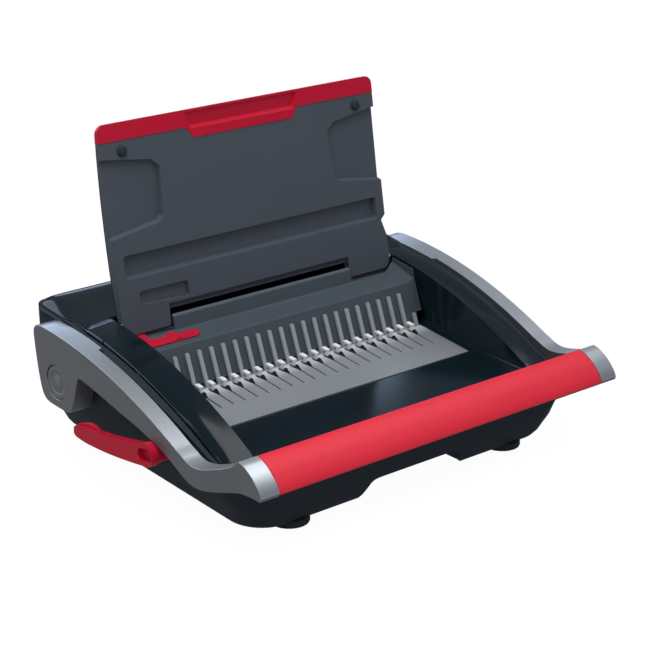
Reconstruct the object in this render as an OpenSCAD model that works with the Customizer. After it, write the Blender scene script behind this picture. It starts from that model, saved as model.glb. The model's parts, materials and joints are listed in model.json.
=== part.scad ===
// Comb binding machine: a hand-lever punch and a ring-comb opener in one case.
// Millimetres. The working frame has x = 0 on the middle plane, y = 0 at the feet of
// the comb tines with +y to the back, and z = 0 on the table. place() moves it to the
// middle of the footprint.

/* [Ring comb] */
// Spacing of the comb tines
tine_pitch = 14.2875; // [14.0:0.0125:14.3]
// Number of long tines
tine_count = 21; // [15:2:21]
// Width of a tine
tine_w = 4.2; // [3.4:0.1:5]
// Length of a long tine up its face
tine_len = 37; // [30:1:38]
// Lean of the tines from upright, in degrees
tine_lean = 21.6; // [20:0.2:23]

/* [Case] */
// Half width of the lower case at the arms
case_half = 213; // [212:0.1:213.2]
// Half width of the glossy shell
seam_half = 203.5; // [202:0.1:203.6]
// Half width of the well between the side walls
well_half = 172; // [171.9:0.1:172.4]
// Front of the case
front_y = -178; // [-180:0.5:-177]
// Back of the case
rear_y = 156; // [155.5:0.5:158]
// Thickness of the moulded walls
wall = 3; // [2.5:0.1:3.2]
// Height of the underside above the table
floor_z = 5; // [5:0.5:6]

/* [Deck] */
// Height of the steel plate at the tine feet
plate_z = 78.8; // [78.4:0.1:79]
// Fall of the steel plate towards the front, in degrees
plate_tilt = 5.94; // [5.8:0.02:6]
// Depth of the steel plate in front of the tines
plate_len = 75; // [72:1:76]
// Length of the slits
slit_len = 38; // [37:1:40]

/* [Lid] */
// Half width of the lid
lid_half = 170; // [168:0.5:170]
// Length of the lid
lid_len = 204.5; // [200:0.5:205]
// Backward lean of the open lid, in degrees
lid_lean = 10; // [9.5:0.1:10.5]

/* [Handle] */
// Outer half width over the two arms
arm_out = 232.5; // [232:0.1:233]
// Half width of the red grip
grip_half = 201; // [198:0.5:202]
// Radius of the cross shaft
shaft_r = 8; // [7:0.5:8]

/* [Opener] */
// Radius of the comb lever's hub
hub_r = 10.4; // [10:0.1:10.5]
// Pitch radius of the opener gear
gear_r = 16; // [16:1:16]
// Teeth on the opener gear
gear_teeth = 16; // [16:1:16]

/* [Hidden] */
$fn = 64;

over = 1;                                // how far a cutter runs past what it cuts
high = 400;                              // taller than the object
lever_out = 240.5;                       // outer face of the comb lever, left side
to_origin = [(lever_out - arm_out) / 2, -(rear_y - 221.5) / 2, 0];

// ---- profiles in the y-z plane ----
crest_z = 130.3;                         // wall crest above the table at y = 0
crest_slope = 0.2244;                    // its rise towards the back at y = 0
crest_r = 440;                           // radius of its arc
function crest(y) = crest_z + crest_slope * y - y * y / (2 * crest_r);
crest_front = -157;                      // where the crest runs out into the front lip
crest_back = 78;
crest_step = 11.75;

arm_z = 125;                             // top of an arm at y = 0
arm_slope = 0.24;
arm_r = 490;
function arm_top(y) = arm_z + arm_slope * y - y * y / (2 * arm_r);

// The front lip rolls over from the deck to the front wall
seam_z = 43;                             // joint of shell and case along the front
lip = [[-163, 64.8], [-169, 61.3], [-174, 56], [-177, 50], [-177.7, seam_z + 0.3]];
shell_foot = [[-172, seam_z + 0.3], [-160, 54]];   // its lower edge, inside the case
function shell_top(drop) = concat(
    [for (y = [crest_back : -crest_step : crest_front]) [y, crest(y) - drop]],
    [for (p = lip) [p[0] + drop, p[1] - drop]]);

function plate_at(y) = plate_z + tan(plate_tilt) * y;
deck_break = [-plate_len, plate_at(-plate_len)];
deck_end = [crest_front, 66.6];
deck_line = concat([[8, plate_at(8)], deck_break, deck_end], lip);

seam_back = 100;                         // the case edge follows the arms up to here
strip_drop = 3;                          // case edge below the top of the arms
strip_rise = [rear_y, 141];
function strip_line(drop) = concat(
    [[rear_y, strip_rise[1] - drop]],
    [for (y = [seam_back : -12.5 : -125]) [y, arm_top(y) - strip_drop - drop]],
    [[-137, 73.5 - drop], [-150, 68 - drop], [-163, 60 - drop], [-172, 51 - drop], [front_y - over,
        seam_z - drop]]);

// ---- helpers ----
module place() translate(to_origin) children();
module along_x(x0, x1) translate([x0, 0, 0]) rotate([90, 0, 90]) linear_extrude(x1 - x0) children();
module along_y(y0, y1) translate([0, y1, 0]) rotate([90, 0, 0]) linear_extrude(y1 - y0) children();
module rod_x(x0, x1, y, z, r) translate([x0, y, z]) rotate([0, 90, 0]) cylinder(h = x1 - x0, r = r);
module block(a, b) translate(a) cube(b - a);
module both_sides() { children(); mirror([1, 0, 0]) children(); }

// Rounded rectangle seen from above
module plan(half, y0, y1, rf, rr) {
    translate([-half + rf, y0]) square([2 * (half - rf), y1 - y0]);
    translate([-half, y0 + rf]) square([2 * half, y1 - y0 - rf - rr]);
    translate([-half + rr, y1 - rr]) square([2 * (half - rr), rr]);
    for (s = [-1, 1]) {
        translate([s * (half - rf), y0 + rf]) circle(rf);
        translate([s * (half - rr), y1 - rr]) circle(rr);
    }
}
corner_f = 35;
corner_r = 24;

// ---- lower case ----
// Height at y = 0, rise to the back in degrees, half width, front and back of the
// case at each level of its flared side; the underside climbs towards the back
flare = [[floor_z + 7, 2.1, 186.5, -168, 145], [27, 1.5, 196, -174, 150], [50, 0.8, 203, -177, 153.5],
         [144, 0, case_half, front_y, rear_y]];
module flared(inset) hull() for (f = flare)
    translate([0, 0, f[0]]) rotate([f[1], 0, 0])
        linear_extrude(0.01) plan(f[2] - inset, f[3] + inset, f[4] - inset, corner_f - inset,
            corner_r - inset, $fn = 32);
module on_underside() translate([0, 0, flare[0][0]]) rotate([flare[0][1], 0, 0]) children();
module case_form(inset, drop) intersection() {
    flared(inset);
    along_x(-case_half, case_half) polygon(concat(strip_line(drop), [[front_y - over, 0], [rear_y, 0]]));
}

arm_seat_y = 34;                         // the arms are set closer in behind this
arm_seat_half = 209.5;
// Everything above the case edge, lowered by drop
module over_edge(drop) along_x(-case_half - over, case_half + over)
    polygon(concat(strip_line(drop), [[front_y - 9, seam_z - drop], [front_y - 9, high], [rear_y + 9,
        high], [rear_y + 9, strip_rise[1] - drop]]));
module case_mouth(gap) intersection() {
    linear_extrude(high) plan(seam_half + 0.3 - gap, front_y + wall + gap, rear_y - wall - gap,
        corner_f + 1, corner_r - wall);
    over_edge(wall + 1);
}
skirt = 3.5;                             // depth of the shell's edge inside the case
notch = [-62, 67, 22];                   // hand notch under the front edge
pivot = [84, 88];                        // axis of the punching handle
opener = [-75.5, 69];                    // axis of the comb lever
drawer_half = 148;
drawer_z = [25, 50];
drawer_gap = 0.6;

module base_pan() color([0.11, 0.12, 0.13]) place() difference() {
    union() {
        difference() {
            case_form(0, 0);
            case_form(wall, wall);
            // open top inside the glossy shell's edge
            case_mouth(0);
            // open underside, closed by the bottom plate
            on_underside() translate([0, 0, -over]) linear_extrude(over + 2 * wall)
                plan(flare[0][2] - 2 * wall, flare[0][3] + 2 * wall, flare[0][4] - 2 * wall, 28, 18);
        }
        // the narrower sides beside the arms
        both_sides() intersection() {
            case_form(0, 0);
            block([arm_seat_half - wall - 1, arm_seat_y - wall - 1, floor_z], [arm_seat_half + over,
                rear_y + over, high]);
        }
        // lining of the hand notch
        intersection() {
            case_form(0, 0);
            block([notch[0] - wall, front_y, floor_z], [notch[1] + wall, -140, notch[2] + wall]);
        }
    }
    block([notch[0], front_y - over, 0], [notch[1], -140 - wall, notch[2]]);
    both_sides() block([arm_seat_half, arm_seat_y, 0], [case_half + over, rear_y + over, high]);
    rod_x(-high / 2 - 20, high / 2 + 20, pivot[0], pivot[1], shaft_r + 1.5);
    rod_x(-case_half - over, -case_half + 5 * wall, opener[0], opener[1], 7);
    block([-drawer_half - drawer_gap, rear_y - 20, drawer_z[0] - drawer_gap],
          [drawer_half + drawer_gap, rear_y + over, drawer_z[1] + drawer_gap]);
}

boss_at = [[-160, -90], [160, -90], [-160, 105], [160, 105], [-160, 10], [160, 10]];
chassis_z = 22;
screw_r = 2;
module bottom_plate() color([0.16, 0.17, 0.18]) place() difference() {
    union() {
        on_underside() linear_extrude(wall - 0.5)
            plan(flare[0][2] - 2 * wall - 0.3, flare[0][3] + 2 * wall + 0.3,
                flare[0][4] - 2 * wall - 0.3, 28, 18);
        intersection() {
            for (p = boss_at) translate([p[0], p[1], 0]) cylinder(h = chassis_z, r = 6);
            on_underside() block([-high, -high, 0], [high, high, 60]);
        }
    }
    block([notch[0] - wall - 0.3, front_y, 0], [notch[1] + wall + 0.3, -140 + 0.3, chassis_z]);
    for (p = boss_at) translate([p[0], p[1], 0]) cylinder(h = chassis_z + over, r = screw_r);
    for (p = boss_at) translate([p[0], p[1], 0]) cylinder(h = chassis_z - 5, r = 4.2);
}

module base_screws() color("silver") place() for (p = boss_at) translate([p[0], p[1], chassis_z - 7]) {
    cylinder(h = 9, r = screw_r - 0.02);
    cylinder(h = 2, r = 4);
}

foot_r = 19.2;
foot_at = [135.1, -150.7, 118];
module foot(x, y) color([0.08, 0.08, 0.09]) place() intersection() {
    translate([x, y, 0]) rotate_extrude()
        polygon([[0, 0], [foot_r - 1.5, 0], [foot_r, 1.5], [foot_r, 26], [0, 26]]);
    on_underside() block([-high, -high, -60], [high, high, 0]);
}

// ---- glossy shell ----
lining = well_half + wall;
module tray_form(inset, drop) intersection() {
    linear_extrude(high) plan(seam_half - inset, front_y + inset + 0.3, rear_y, corner_f - inset, corner_r);
    along_x(-seam_half, seam_half) polygon(concat(shell_top(drop), shell_foot, [[crest_back, 54]]));
    union() {
        case_mouth(0.3);
        over_edge(-0.3);
        block([-lining, front_y + 4.8, 40], [lining, crest_back, high]);
    }
    union() {
        over_edge(skirt);
        block([-lining, front_y, 40], [lining, crest_back, high]);
    }
}
lid_axis = [62, 137.2];                  // hinge axis of the lid
pin_r = 1.5;
module tray_shell() color([0.07, 0.1, 0.13]) place() difference() {
    union() {
        difference() {
            tray_form(0, 0);
            difference() {
                tray_form(wall, wall);
                along_x(-lining, lining) polygon(concat([for (p = deck_line) [p[0], p[1] - wall]],
                    [[front_y - 40, 30], [front_y - 40, high], [90, high], [90, plate_z - wall]]));
            }
            // the slanted joint with the back cover
            both_sides() translate([0, 0, 30]) linear_extrude(high)
                polygon([[lining, crest_back + over], [lining, 69], [seam_half + over, 42],
                    [seam_half + over, 90]]);
        }
        both_sides() block([well_half, lid_axis[0] - 7, 126], [well_half + 4.5, lid_axis[0] + 5,
            crest(56)]);
    }
    along_x(-well_half, well_half) polygon(concat(deck_line, [[front_y - 40, 60], [front_y - 40,
        high], [90, high], [90, plate_z]]));
    along_x(-lining - over, lining + over) polygon([[10, 0], [10, 86], [22.5, 112], [26, 125], [90,
        125], [90, 0]]);
    block([-plate_half, -2, 0], [plate_half, 20, 84]);
    // pocket for the steel plate, and the hole under its slits
    sloped() block([-plate_half - 0.3, -plate_len - 0.3, -plate_t], [plate_half + 0.3, 12, over]);
    block([-plate_half + 6, -plate_len + 12, 0], [plate_half - 6, 12, high / 4]);
    rod_x(-well_half - 10, well_half + 10, lid_axis[0], lid_axis[1], pin_r + 0.05);
    rod_x(-high / 2 - 20, high / 2 + 20, pivot[0], pivot[1], shaft_r + 1.5);
    rod_x(-case_half - over, -case_half + 5 * wall, opener[0], opener[1], 7);
}

cover_back_z = 152;
cover_front = 78.3;
cover_back = rear_y - wall - 0.3;
module cover_profile(inset) {
    difference() {
        polygon([[40, 100], [40, crest(40) - inset], [cover_front, crest(cover_front) + 1 - inset],
                 [cover_back - 13, cover_back_z - inset], [cover_back - 5, cover_back_z - 2.5 - inset],
                 [cover_back - inset - 0.5, cover_back_z - 9], [cover_back - inset, 142],
                     [cover_back - inset, 100]]);
    }
}
module cover_form(inset) intersection() {
    along_x(-seam_half, seam_half) cover_profile(inset);
    translate([0, 0, 90]) linear_extrude(high) plan(seam_half - inset, -40, cover_back - inset, 20,
        corner_r - inset);
    along_y(0, rear_y + over) polygon([[-seam_half + inset, 90], [-seam_half + inset, 139 - inset],
        [-seam_half + 5, 144.5 - inset],
        [-seam_half + 14, 149.5 - inset], [-seam_half + 26, 153 - inset], [seam_half - 26, 153 - inset],
        [seam_half - 14, 149.5 - inset], [seam_half - 5, 144.5 - inset], [seam_half - inset,
            139 - inset], [seam_half - inset, 90]]);
}
module rear_cover() color([0.07, 0.1, 0.13]) place() difference() {
    cover_form(0);
    cover_form(wall);
    block([-seam_half - over, 0, 80], [seam_half + over, rear_y + over, 118]);
    block([-seam_half - over, cover_back - 0.9, 80], [seam_half + over, rear_y + over, 136.5]);
    block([-lining - 0.4, 0, 80], [lining + 0.4, cover_front, high]);
    both_sides() translate([0, 0, 30]) linear_extrude(high)
        polygon([[lining - over, cover_front], [lining - over, 69.4], [lining, 69.4],
            [seam_half + over, 42.4], [seam_half + over, 0], [lining - over, 0]]);
}

// ---- steel frame inside ----
side_x = [183, 186];
module chassis() color([0.55, 0.57, 0.6]) place() difference() {
    union() {
        block([-side_x[1], -100, chassis_z], [side_x[1], 112, chassis_z + 2]);
        both_sides() along_x(side_x[0], side_x[1]) polygon([[-100, chassis_z], [112, chassis_z], [112,
            112], [72, 112],
            [66, 124], [38, 124], [30, 76], [-50, 80], [-100, 80]]);
        // shelf that carries the guide rods
        block([-side_x[1], -92, 50], [side_x[1], -88, 60]);
        block([-side_x[1], 24, 50], [side_x[1], 28, 70]);
    }
    // lower edges follow the flare of the case
    both_sides() along_y(-high, high) polygon([[182.3, 21], [187.06, 29], [190, 29], [190, 21]]);
    rod_x(-high, high, pivot[0], pivot[1], bush_r);
    rod_x(-high, high, opener[0], opener[1], opener_r + 0.05);
    for (p = boss_at) translate([p[0], p[1], 0]) cylinder(h = 30, r = screw_r);
    for (s = [-1, 1]) sloped() translate([s * rod_x_at, -120, rod_drop]) rotate([-90, 0, 0])
        cylinder(h = 200, r = rod_r);
}

// ---- comb bench ----
plate_half = 161;
plate_t = 1.5;
slit_w = 1.8;
short_tine = 13.5;
module sloped() translate([0, 0, plate_z]) rotate([plate_tilt, 0, 0]) children();
function tine_x(i) = (i - (tine_count - 1) / 2) * tine_pitch;

module comb_plate() color([0.66, 0.68, 0.7]) place() sloped() difference() {
    block([-plate_half, -plate_len, -plate_t], [plate_half, -0.9, 0]);
    for (i = [0 : tine_count - 1]) {
        block([tine_x(i) - slit_w / 2, -slit_len - 3, -over - plate_t], [tine_x(i) + slit_w / 2, -3, over]);
        // wider start of the slit, where the hook parks
        translate([tine_x(i), 0, -over - plate_t]) linear_extrude(2 * over + plate_t)
            polygon([[-2.9, -2], [2.9, -2], [2.9, -8], [slit_w / 2, -14], [-slit_w / 2, -14], [-2.9, -8]]);
    }
}

tine_t = 2.2;
module leaned() translate([0, 0, plate_z + 0.6]) rotate([-tine_lean, 0, 0]) children();
module tine_shape(len) {
    translate([-tine_w / 2, 0]) square([tine_w, len - tine_w / 2]);
    translate([0, len - tine_w / 2]) circle(tine_w / 2);
}
module tine_comb() color([0.6, 0.62, 0.64]) place() leaned() {
    for (i = [0 : tine_count - 1]) translate([tine_x(i), tine_t, 0]) rotate([90, 0, 0])
        linear_extrude(tine_t) tine_shape(tine_len);
    for (s = [-1, 1]) translate([s * tine_pitch * (tine_count + 1) / 2, tine_t, 0]) rotate([90, 0, 0])
        linear_extrude(tine_t) tine_shape(short_tine);
    block([-160, 0.2, -7], [160, tine_t, 0]);
}

flap_half = 112;
cheek = [170.4, 171.7];
slot_w = 6;
slot_front = [55.4, 125];                // front wall of the paper slot, and its height
function slot_y(z) = slot_front[0] + (z - slot_front[1]) * tan(lid_lean);
face_foot = [4.6, 82];
face_top = [19.4, 121];
strip_back = [43, 125.3];
skin = 2.5;
module tine_housing() color([0.25, 0.27, 0.29]) place() difference() {
    union() {
        along_x(-cheek[0], cheek[0]) polygon([face_foot, face_top, strip_back, [slot_y(125.3), 125.3],
            [slot_y(122), 122], [44, 122], [21.4, 118], [face_foot[0] + skin + 0.6, face_foot[1]]]);
        along_x(-flap_half, flap_half) polygon([strip_back - [2, 1], strip_back, [55.4, 136.3], [56.5,
            136.8],
            [slot_y(136.5), 136.5], [slot_y(122), 122]]);
        both_sides() along_x(cheek[0], cheek[1]) polygon([[8, 82], [21, 114], [24, crest(24) - 2],
            [55, crest(55) - 2],
            [slot_y(110), 110], [46, 82]]);
        both_sides() along_x(165, cheek[0]) polygon([[9.5, 84], [21, 112], [22, 118], [46, 122], [48, 84]]);
    }
    // bevelled front corners
    both_sides() translate([0, 0, 60]) linear_extrude(high) polygon([[161.5, -10], [161.5, 4], [172,
        24], [190, 24], [190, -10]]);
    // room for the front die plate
    slot_frame() block([-side_x[0], -12.3, -12.3], [side_x[0], over, 6.8]);
}

pin_z = 111;
module tilted(y, z) translate([0, y, z]) rotate([-lid_lean, 0, 0]) children();
// In this frame z runs up the paper slot and y runs through the paper
module slot_frame() tilted(slot_y(pin_z), pin_z) children();
pin_w = 8;
pin_t = 2.8;
pin_fit = 0.05;
module die_front() color([0.5, 0.52, 0.55]) place() slot_frame() difference() {
    block([-side_x[0], -12, -12], [side_x[0], 0, 6.5]);
    for (i = [0 : tine_count - 1]) block([tine_x(i) - pin_w / 2 - pin_fit, -13, -pin_t / 2 - pin_fit],
        [tine_x(i) + pin_w / 2 + pin_fit, over, pin_t / 2 + pin_fit]);
}
module die_rear() color([0.5, 0.52, 0.55]) place() slot_frame() difference() {
    block([-side_x[0], slot_w, -12], [side_x[0], slot_w + 8, 12]);
    for (i = [0 : tine_count - 1]) block([tine_x(i) - pin_w / 2 - pin_fit, 0, -pin_t / 2 - pin_fit],
        [tine_x(i) + pin_w / 2 + pin_fit, 40, pin_t / 2 + pin_fit]);
}
bar_y = [15, 25];
module punch_bar() color([0.42, 0.44, 0.47]) place() slot_frame() {
    block([-170, bar_y[0], -4], [170, bar_y[1], 6]);
}
module punch_pins() color("silver") place() slot_frame() for (i = [0 : tine_count - 1])
    block([tine_x(i) - pin_w / 2, -6, -pin_t / 2], [tine_x(i) + pin_w / 2, bar_y[0], pin_t / 2]);

// ---- ring opener ----
rod_r = 3;
rod_drop = -17;                          // guide rods below the plate's top face
rod_x_at = 120;
opener_r = 6;
module guide_rod(s) color("silver") place() sloped()
    translate([s * rod_x_at, -92, rod_drop]) rotate([-90, 0, 0]) cylinder(h = 121, r = rod_r - 0.02);

leg_t = 1.2;
module hook() {
    block([-leg_t / 2, -8.4, rod_drop + 4], [leg_t / 2, -4.4, 6]);
    block([-2.3, -8.4, 6], [2.3, 0, 7.6]);
    block([-leg_t / 2, -1.6, 3.4], [leg_t / 2, 0, 6]);
}
module hook_bar() color([0.78, 0.8, 0.82]) place() sloped() difference() {
    union() {
        block([-152, -12, rod_drop + 3.6], [152, -1, rod_drop + 6]);
        for (i = [0 : tine_count - 1]) translate([tine_x(i), 0, 0]) hook();
        for (s = [-1, 1]) block([s * rod_x_at - 7, -14, rod_drop - 5.5], [s * rod_x_at + 7, 4,
            rod_drop + 4]);
    }
    for (s = [-1, 1]) translate([s * rod_x_at, -30, rod_drop]) rotate([-90, 0, 0]) cylinder(h = 60,
        r = rod_r + 0.05);
}

rack_x = [-198.5, -190];
gear_pitch = 2 * PI * gear_r / gear_teeth;
gear_local = [opener[0] * cos(plate_tilt) + (opener[1] - plate_z) * sin(plate_tilt),
              -opener[0] * sin(plate_tilt) + (opener[1] - plate_z) * cos(plate_tilt)];
rack_z = gear_local[1] + gear_r;         // pitch line of the rack
tooth_up = 1.6;
tooth_down = 2.2;
rack_teeth = 8;
leg_x = [-181, -176];
module rack() color([0.5, 0.52, 0.55]) place() sloped() {
    along_x(rack_x[0], rack_x[1]) polygon(concat(
        [[gear_local[0] + (rack_teeth - 0.5) * gear_pitch, rack_z + 5.5], [gear_local[0] - gear_pitch,
            rack_z + 5.5], [gear_local[0] - gear_pitch, rack_z + tooth_down]],
        [for (i = [0 : rack_teeth - 1], q = [[-1.9, tooth_down], [-0.9, -tooth_up], [0.9, -tooth_up],
            [1.9, tooth_down]])
            [gear_local[0] + (i - 0.0) * gear_pitch + q[0], rack_z + q[1]]],
        [[gear_local[0] + (rack_teeth - 0.5) * gear_pitch, rack_z + tooth_down]]));
    // bracket over the frame side, down beside the well and in under the deck
    block([rack_x[1], -34, rack_z + 2.4], [leg_x[1], -27, rack_z + 5.5]);
    block([leg_x[0], -34, rod_drop + 1], [leg_x[1], -27, rack_z + 2.4]);
    block([leg_x[1], -34, rod_drop + 1], [-153, -27, rod_drop + 3.2]);
    block([-166, -27, rod_drop + 1], [-153, -5, rod_drop + 3.2]);
    block([-153, -12, rod_drop + 1], [-140, -5, rod_drop + 3.5]);
}

tooth_step = 360 / gear_teeth;
module opener_gear() color([0.5, 0.52, 0.55]) place() translate([rack_x[0], opener[0], opener[1]])
    rotate([90, 0, 90]) difference() {
    union() {
        cylinder(h = rack_x[1] - rack_x[0], r = gear_r - tooth_down);
        // a gap faces the rack tooth at the top
        for (i = [0 : gear_teeth - 1]) rotate((i + 0.5) * tooth_step + plate_tilt)
            linear_extrude(rack_x[1] - rack_x[0])
            polygon([[-2, gear_r - tooth_down - 1.5], [-2, gear_r - tooth_down], [-1, gear_r + tooth_up],
                     [1, gear_r + tooth_up], [2, gear_r - tooth_down], [2, gear_r - tooth_down - 1.5]]);
    }
    translate([0, 0, -over]) cylinder(h = 20, r = opener_r);
}
module opener_shaft() color("silver") place() rod_x(-lever_out + 10, -181.5, opener[0], opener[1],
    opener_r);

lever_in = 233.2;
lever_step = 237;
eye_r = 11.6;
dimple_r = 7;                            // thumb dimple in the eye of the lever
dimple_d = 6;
// Outline of the paddle from above the hub to its tip and back underneath
paddle = [[-74, 80.4], [-60, 76.2], [-28, 69.8], [1, 65], [23, 62.3], [41, 59.8], [43.5, 57], [43.3, 51.6],
          [41, 49.6], [33, 48.4], [16, 48], [-18, 50.2], [-51, 54.2], [-73, 57.6]];
thumb_tab = [[2, 64], [7.5, 65.4], [13, 67.2], [22, 67], [36, 62.8], [44, 58.6], [43.5, 54], [0, 56]];
module opener_lever() color([0.7, 0.1, 0.18]) place() difference() {
    union() {
        along_x(-lever_out, -lever_in) polygon(paddle);
        along_x(-lever_step, -lever_in) polygon(thumb_tab);
        rod_x(-lever_out, -lever_in, opener[0], opener[1], eye_r);
        rod_x(-lever_in - over, -case_half - 1.2, opener[0], opener[1], hub_r);
    }
    rod_x(-lever_out - over, -lever_out + dimple_d, opener[0], opener[1], dimple_r);
    rod_x(-lever_out + 10, -case_half, opener[0], opener[1], opener_r);
}

// ---- punching handle ----
arm_in = [210.3, 215];                   // inner faces, behind and in front of the step
// Underside and back of an arm, seen from the side
arm_back = [[104, 65], [110.5, 72], [115, 86], [118, 101], [120.3, 116], [121.6, 129], [120, 134.5],
    [115.5, 138.2]];
arm_under = [[-221.5, 71], [-219, 69.4], [-205, 69.4], [-185, 66.5], [-163, 61.2], [-146, 58.4],
    [-133, 58.8], [-120, 63.4],
             [-104, 71], [-88, 77], [-57, 85.7], [-25, 92], [7, 98.7], [40, 104.8], [46, 102.6], [49,
                 93.4], [53.5, 79.7], [60, 65.8], [71, 62.4], [94, 63]];
saddle = [[-125, 80.2], [-131, 78], [-138, 77.2], [-148, 78.4], [-160, 81.8], [-174, 86.4], [-181,
    89.4], [-186, 93.6], [-190, 97.2]];
nose = [[-196, 95.8], [-202, 92.9], [-208, 88.6], [-213.5, 83.2], [-218, 77.8], [-221.3, 73.2]];
module arm_profile() polygon(concat(arm_back, [for (y = [104 : -12 : -112]) [y, arm_top(y)]], saddle,
    nose, arm_under));
module arm_plan() polygon(concat(
    [[arm_in[0], 124], [arm_out, 124], [arm_out, -146]],
    [for (a = [0 : 6]) [arm_out - 9.5 * (1 - cos(a * 15)), -146 - 42 * sin(a * 15)]],
    [[221.5, -223], [grip_half, -223], [grip_half, -176]],
    [for (a = [0 : 6]) [arm_in[1] - 14 * (1 - sin(a * 15)), -134 - 42 * cos(a * 15)]],
    [[arm_in[1], arm_seat_y + 0.5], [arm_in[0], arm_seat_y + 2.5]]));
module arm() difference() {
    intersection() {
        along_x(grip_half, arm_out) arm_profile();
        linear_extrude(high) arm_plan();
    }
    rod_x(arm_in[0] - over, arm_in[0] + 14, pivot[0], pivot[1], shaft_r);
    rod_x(arm_out - cap_t, arm_out + over, pivot[0], pivot[1], cap_r + 0.1);
    rod_x(grip_half - over, grip_half + 10, tube_at[0], tube_at[1], tube_r);
}
cap_t = 4;
cap_r = 17.5;
module handle_arm_right() color([0.52, 0.54, 0.57]) place() arm();
module handle_arm_left() color([0.52, 0.54, 0.57]) place() mirror([1, 0, 0]) arm();
module hub_cap() translate([arm_out - cap_t, pivot[0], pivot[1]]) rotate([0, 90, 0]) rotate_extrude()
    polygon([[0, 0], [cap_r, 0], [cap_r, cap_t - 1.4], [cap_r - 2.2, cap_t - 0.4], [12.4,
        cap_t - 0.4], [11.6, cap_t - 1.6],
             [7.8, cap_t - 1.6], [7.2, cap_t - 0.4], [0, cap_t - 0.4]]);
module hub_cap_right() color([0.42, 0.44, 0.46]) place() hub_cap();
module hub_cap_left() color([0.42, 0.44, 0.46]) place() mirror([1, 0, 0]) hub_cap();

tube_at = [-203.5, 82.5];
tube_r = 6;
// Closed shell of the grip; its back rises from the flat underside
grip_under = [[-219.6, 70], [-205, 70], [-190, 82], [-187.6, 95.6]];
module grip() color([0.87, 0.22, 0.29]) place() difference() {
    along_x(-grip_half, grip_half) polygon(concat([[-190, 97.2]], nose, grip_under));
    rod_x(-grip_half - over, grip_half + over, tube_at[0], tube_at[1], tube_r);
}
module grip_tube() color("silver") place() rod_x(-grip_half - 10, grip_half + 10, tube_at[0],
    tube_at[1], tube_r);

bush_r = 11;
module handle_shaft() color("silver") place() rod_x(-arm_in[0] - 14, arm_in[0] + 14, pivot[0],
    pivot[1], shaft_r);
module shaft_bush(s) color([0.75, 0.68, 0.45]) place() difference() {
    rod_x(s * 184.5 - 3.5, s * 184.5 + 3.5, pivot[0], pivot[1], bush_r);
    rod_x(s * 184.5 - 5, s * 184.5 + 5, pivot[0], pivot[1], shaft_r + 0.05);
}
cam_at = 120;
module cam(s) color([0.5, 0.52, 0.55]) place() difference() {
    union() {
        rod_x(s * cam_at - 5, s * cam_at + 5, pivot[0], pivot[1], 11.5);
        rod_x(s * cam_at - 5, s * cam_at + 5, pivot[0] - 8, pivot[1] - 4, 8);
    }
    rod_x(s * cam_at - 6, s * cam_at + 6, pivot[0], pivot[1], shaft_r);
}
// Torsion spring: a round wire swept along a helix round the shaft
spring_x = 150;
spring_turns = 8;
spring_wire = 1.1;
spring_pitch = 2.9;
ring_steps = 16;
wire_sides = 6;
spring_rings = spring_turns * ring_steps;
function wire_point(i, k) = let (a = 360 * i / ring_steps, b = 360 * k / wire_sides,
    r = shaft_r + 2.6 + spring_wire * cos(b))
    [spring_x + spring_pitch * i / ring_steps + spring_wire * sin(b), pivot[0] + r * cos(a),
        pivot[1] + r * sin(a)];
module return_spring() color("silver") place() polyhedron(
    points = [for (i = [0 : spring_rings], k = [0 : wire_sides - 1]) wire_point(i, k)],
    faces = concat(
        [[for (k = [0 : wire_sides - 1]) k]],
        [for (i = [0 : spring_rings - 1], k = [0 : wire_sides - 1]) let (n = (k + 1) % wire_sides,
            r = i * wire_sides)
            [r + n, r + k, r + wire_sides + k, r + wire_sides + n]],
        [[for (k = [wire_sides - 1 : -1 : 0]) spring_rings * wire_sides + k]]));

// ---- lid ----
// x across, y through the lid from its inner face, z up from its lower edge
lid_foot = [58, 126.3];
module lid_frame() translate([0, lid_foot[0], lid_foot[1]]) rotate([-lid_lean, 0, 0]) children();
lid_back = [[9.4, 0], [10.2, 22], [12, 62], [11.8, 98], [10.4, 136], [7.6, 172], [5, 194], [3, lid_len]];
cover_t = 2;
cutout_half = 114.5;
cutout_up = 16;
rim_z = lid_len - 17.2;
rim_mid = lid_len - 28;
rim_slope = [61.5, 69];
lid_corner = 14;
module lid_outline(inset) difference() {
    union() {
        translate([-lid_half + inset, 0]) square([2 * (lid_half - inset), lid_len - lid_corner]);
        translate([-lid_half + lid_corner, lid_len - lid_corner - 1])
            square([2 * (lid_half - lid_corner), lid_corner + 1 - inset]);
        for (s = [-1, 1]) translate([s * (lid_half - lid_corner), lid_len - lid_corner])
            circle(lid_corner - inset);
    }
    translate([-cutout_half, -over]) square([2 * cutout_half, over + cutout_up]);
}
module rim_region() polygon([[-lid_half - over, lid_len + over], [-lid_half - over, rim_z],
    [-rim_slope[1], rim_z], [-rim_slope[0], rim_mid],
    [rim_slope[0], rim_mid], [rim_slope[1], rim_z], [lid_half + over, rim_z], [lid_half + over,
        lid_len + over]]);
module lid_slab(t) along_x(-lid_half, lid_half) polygon(concat([[0, 0]],
    [for (p = lid_back) [p[0] - t, p[1]]], [[0, lid_len]]));
module upright(y0, y1) along_y(y0, y1) children();

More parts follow.
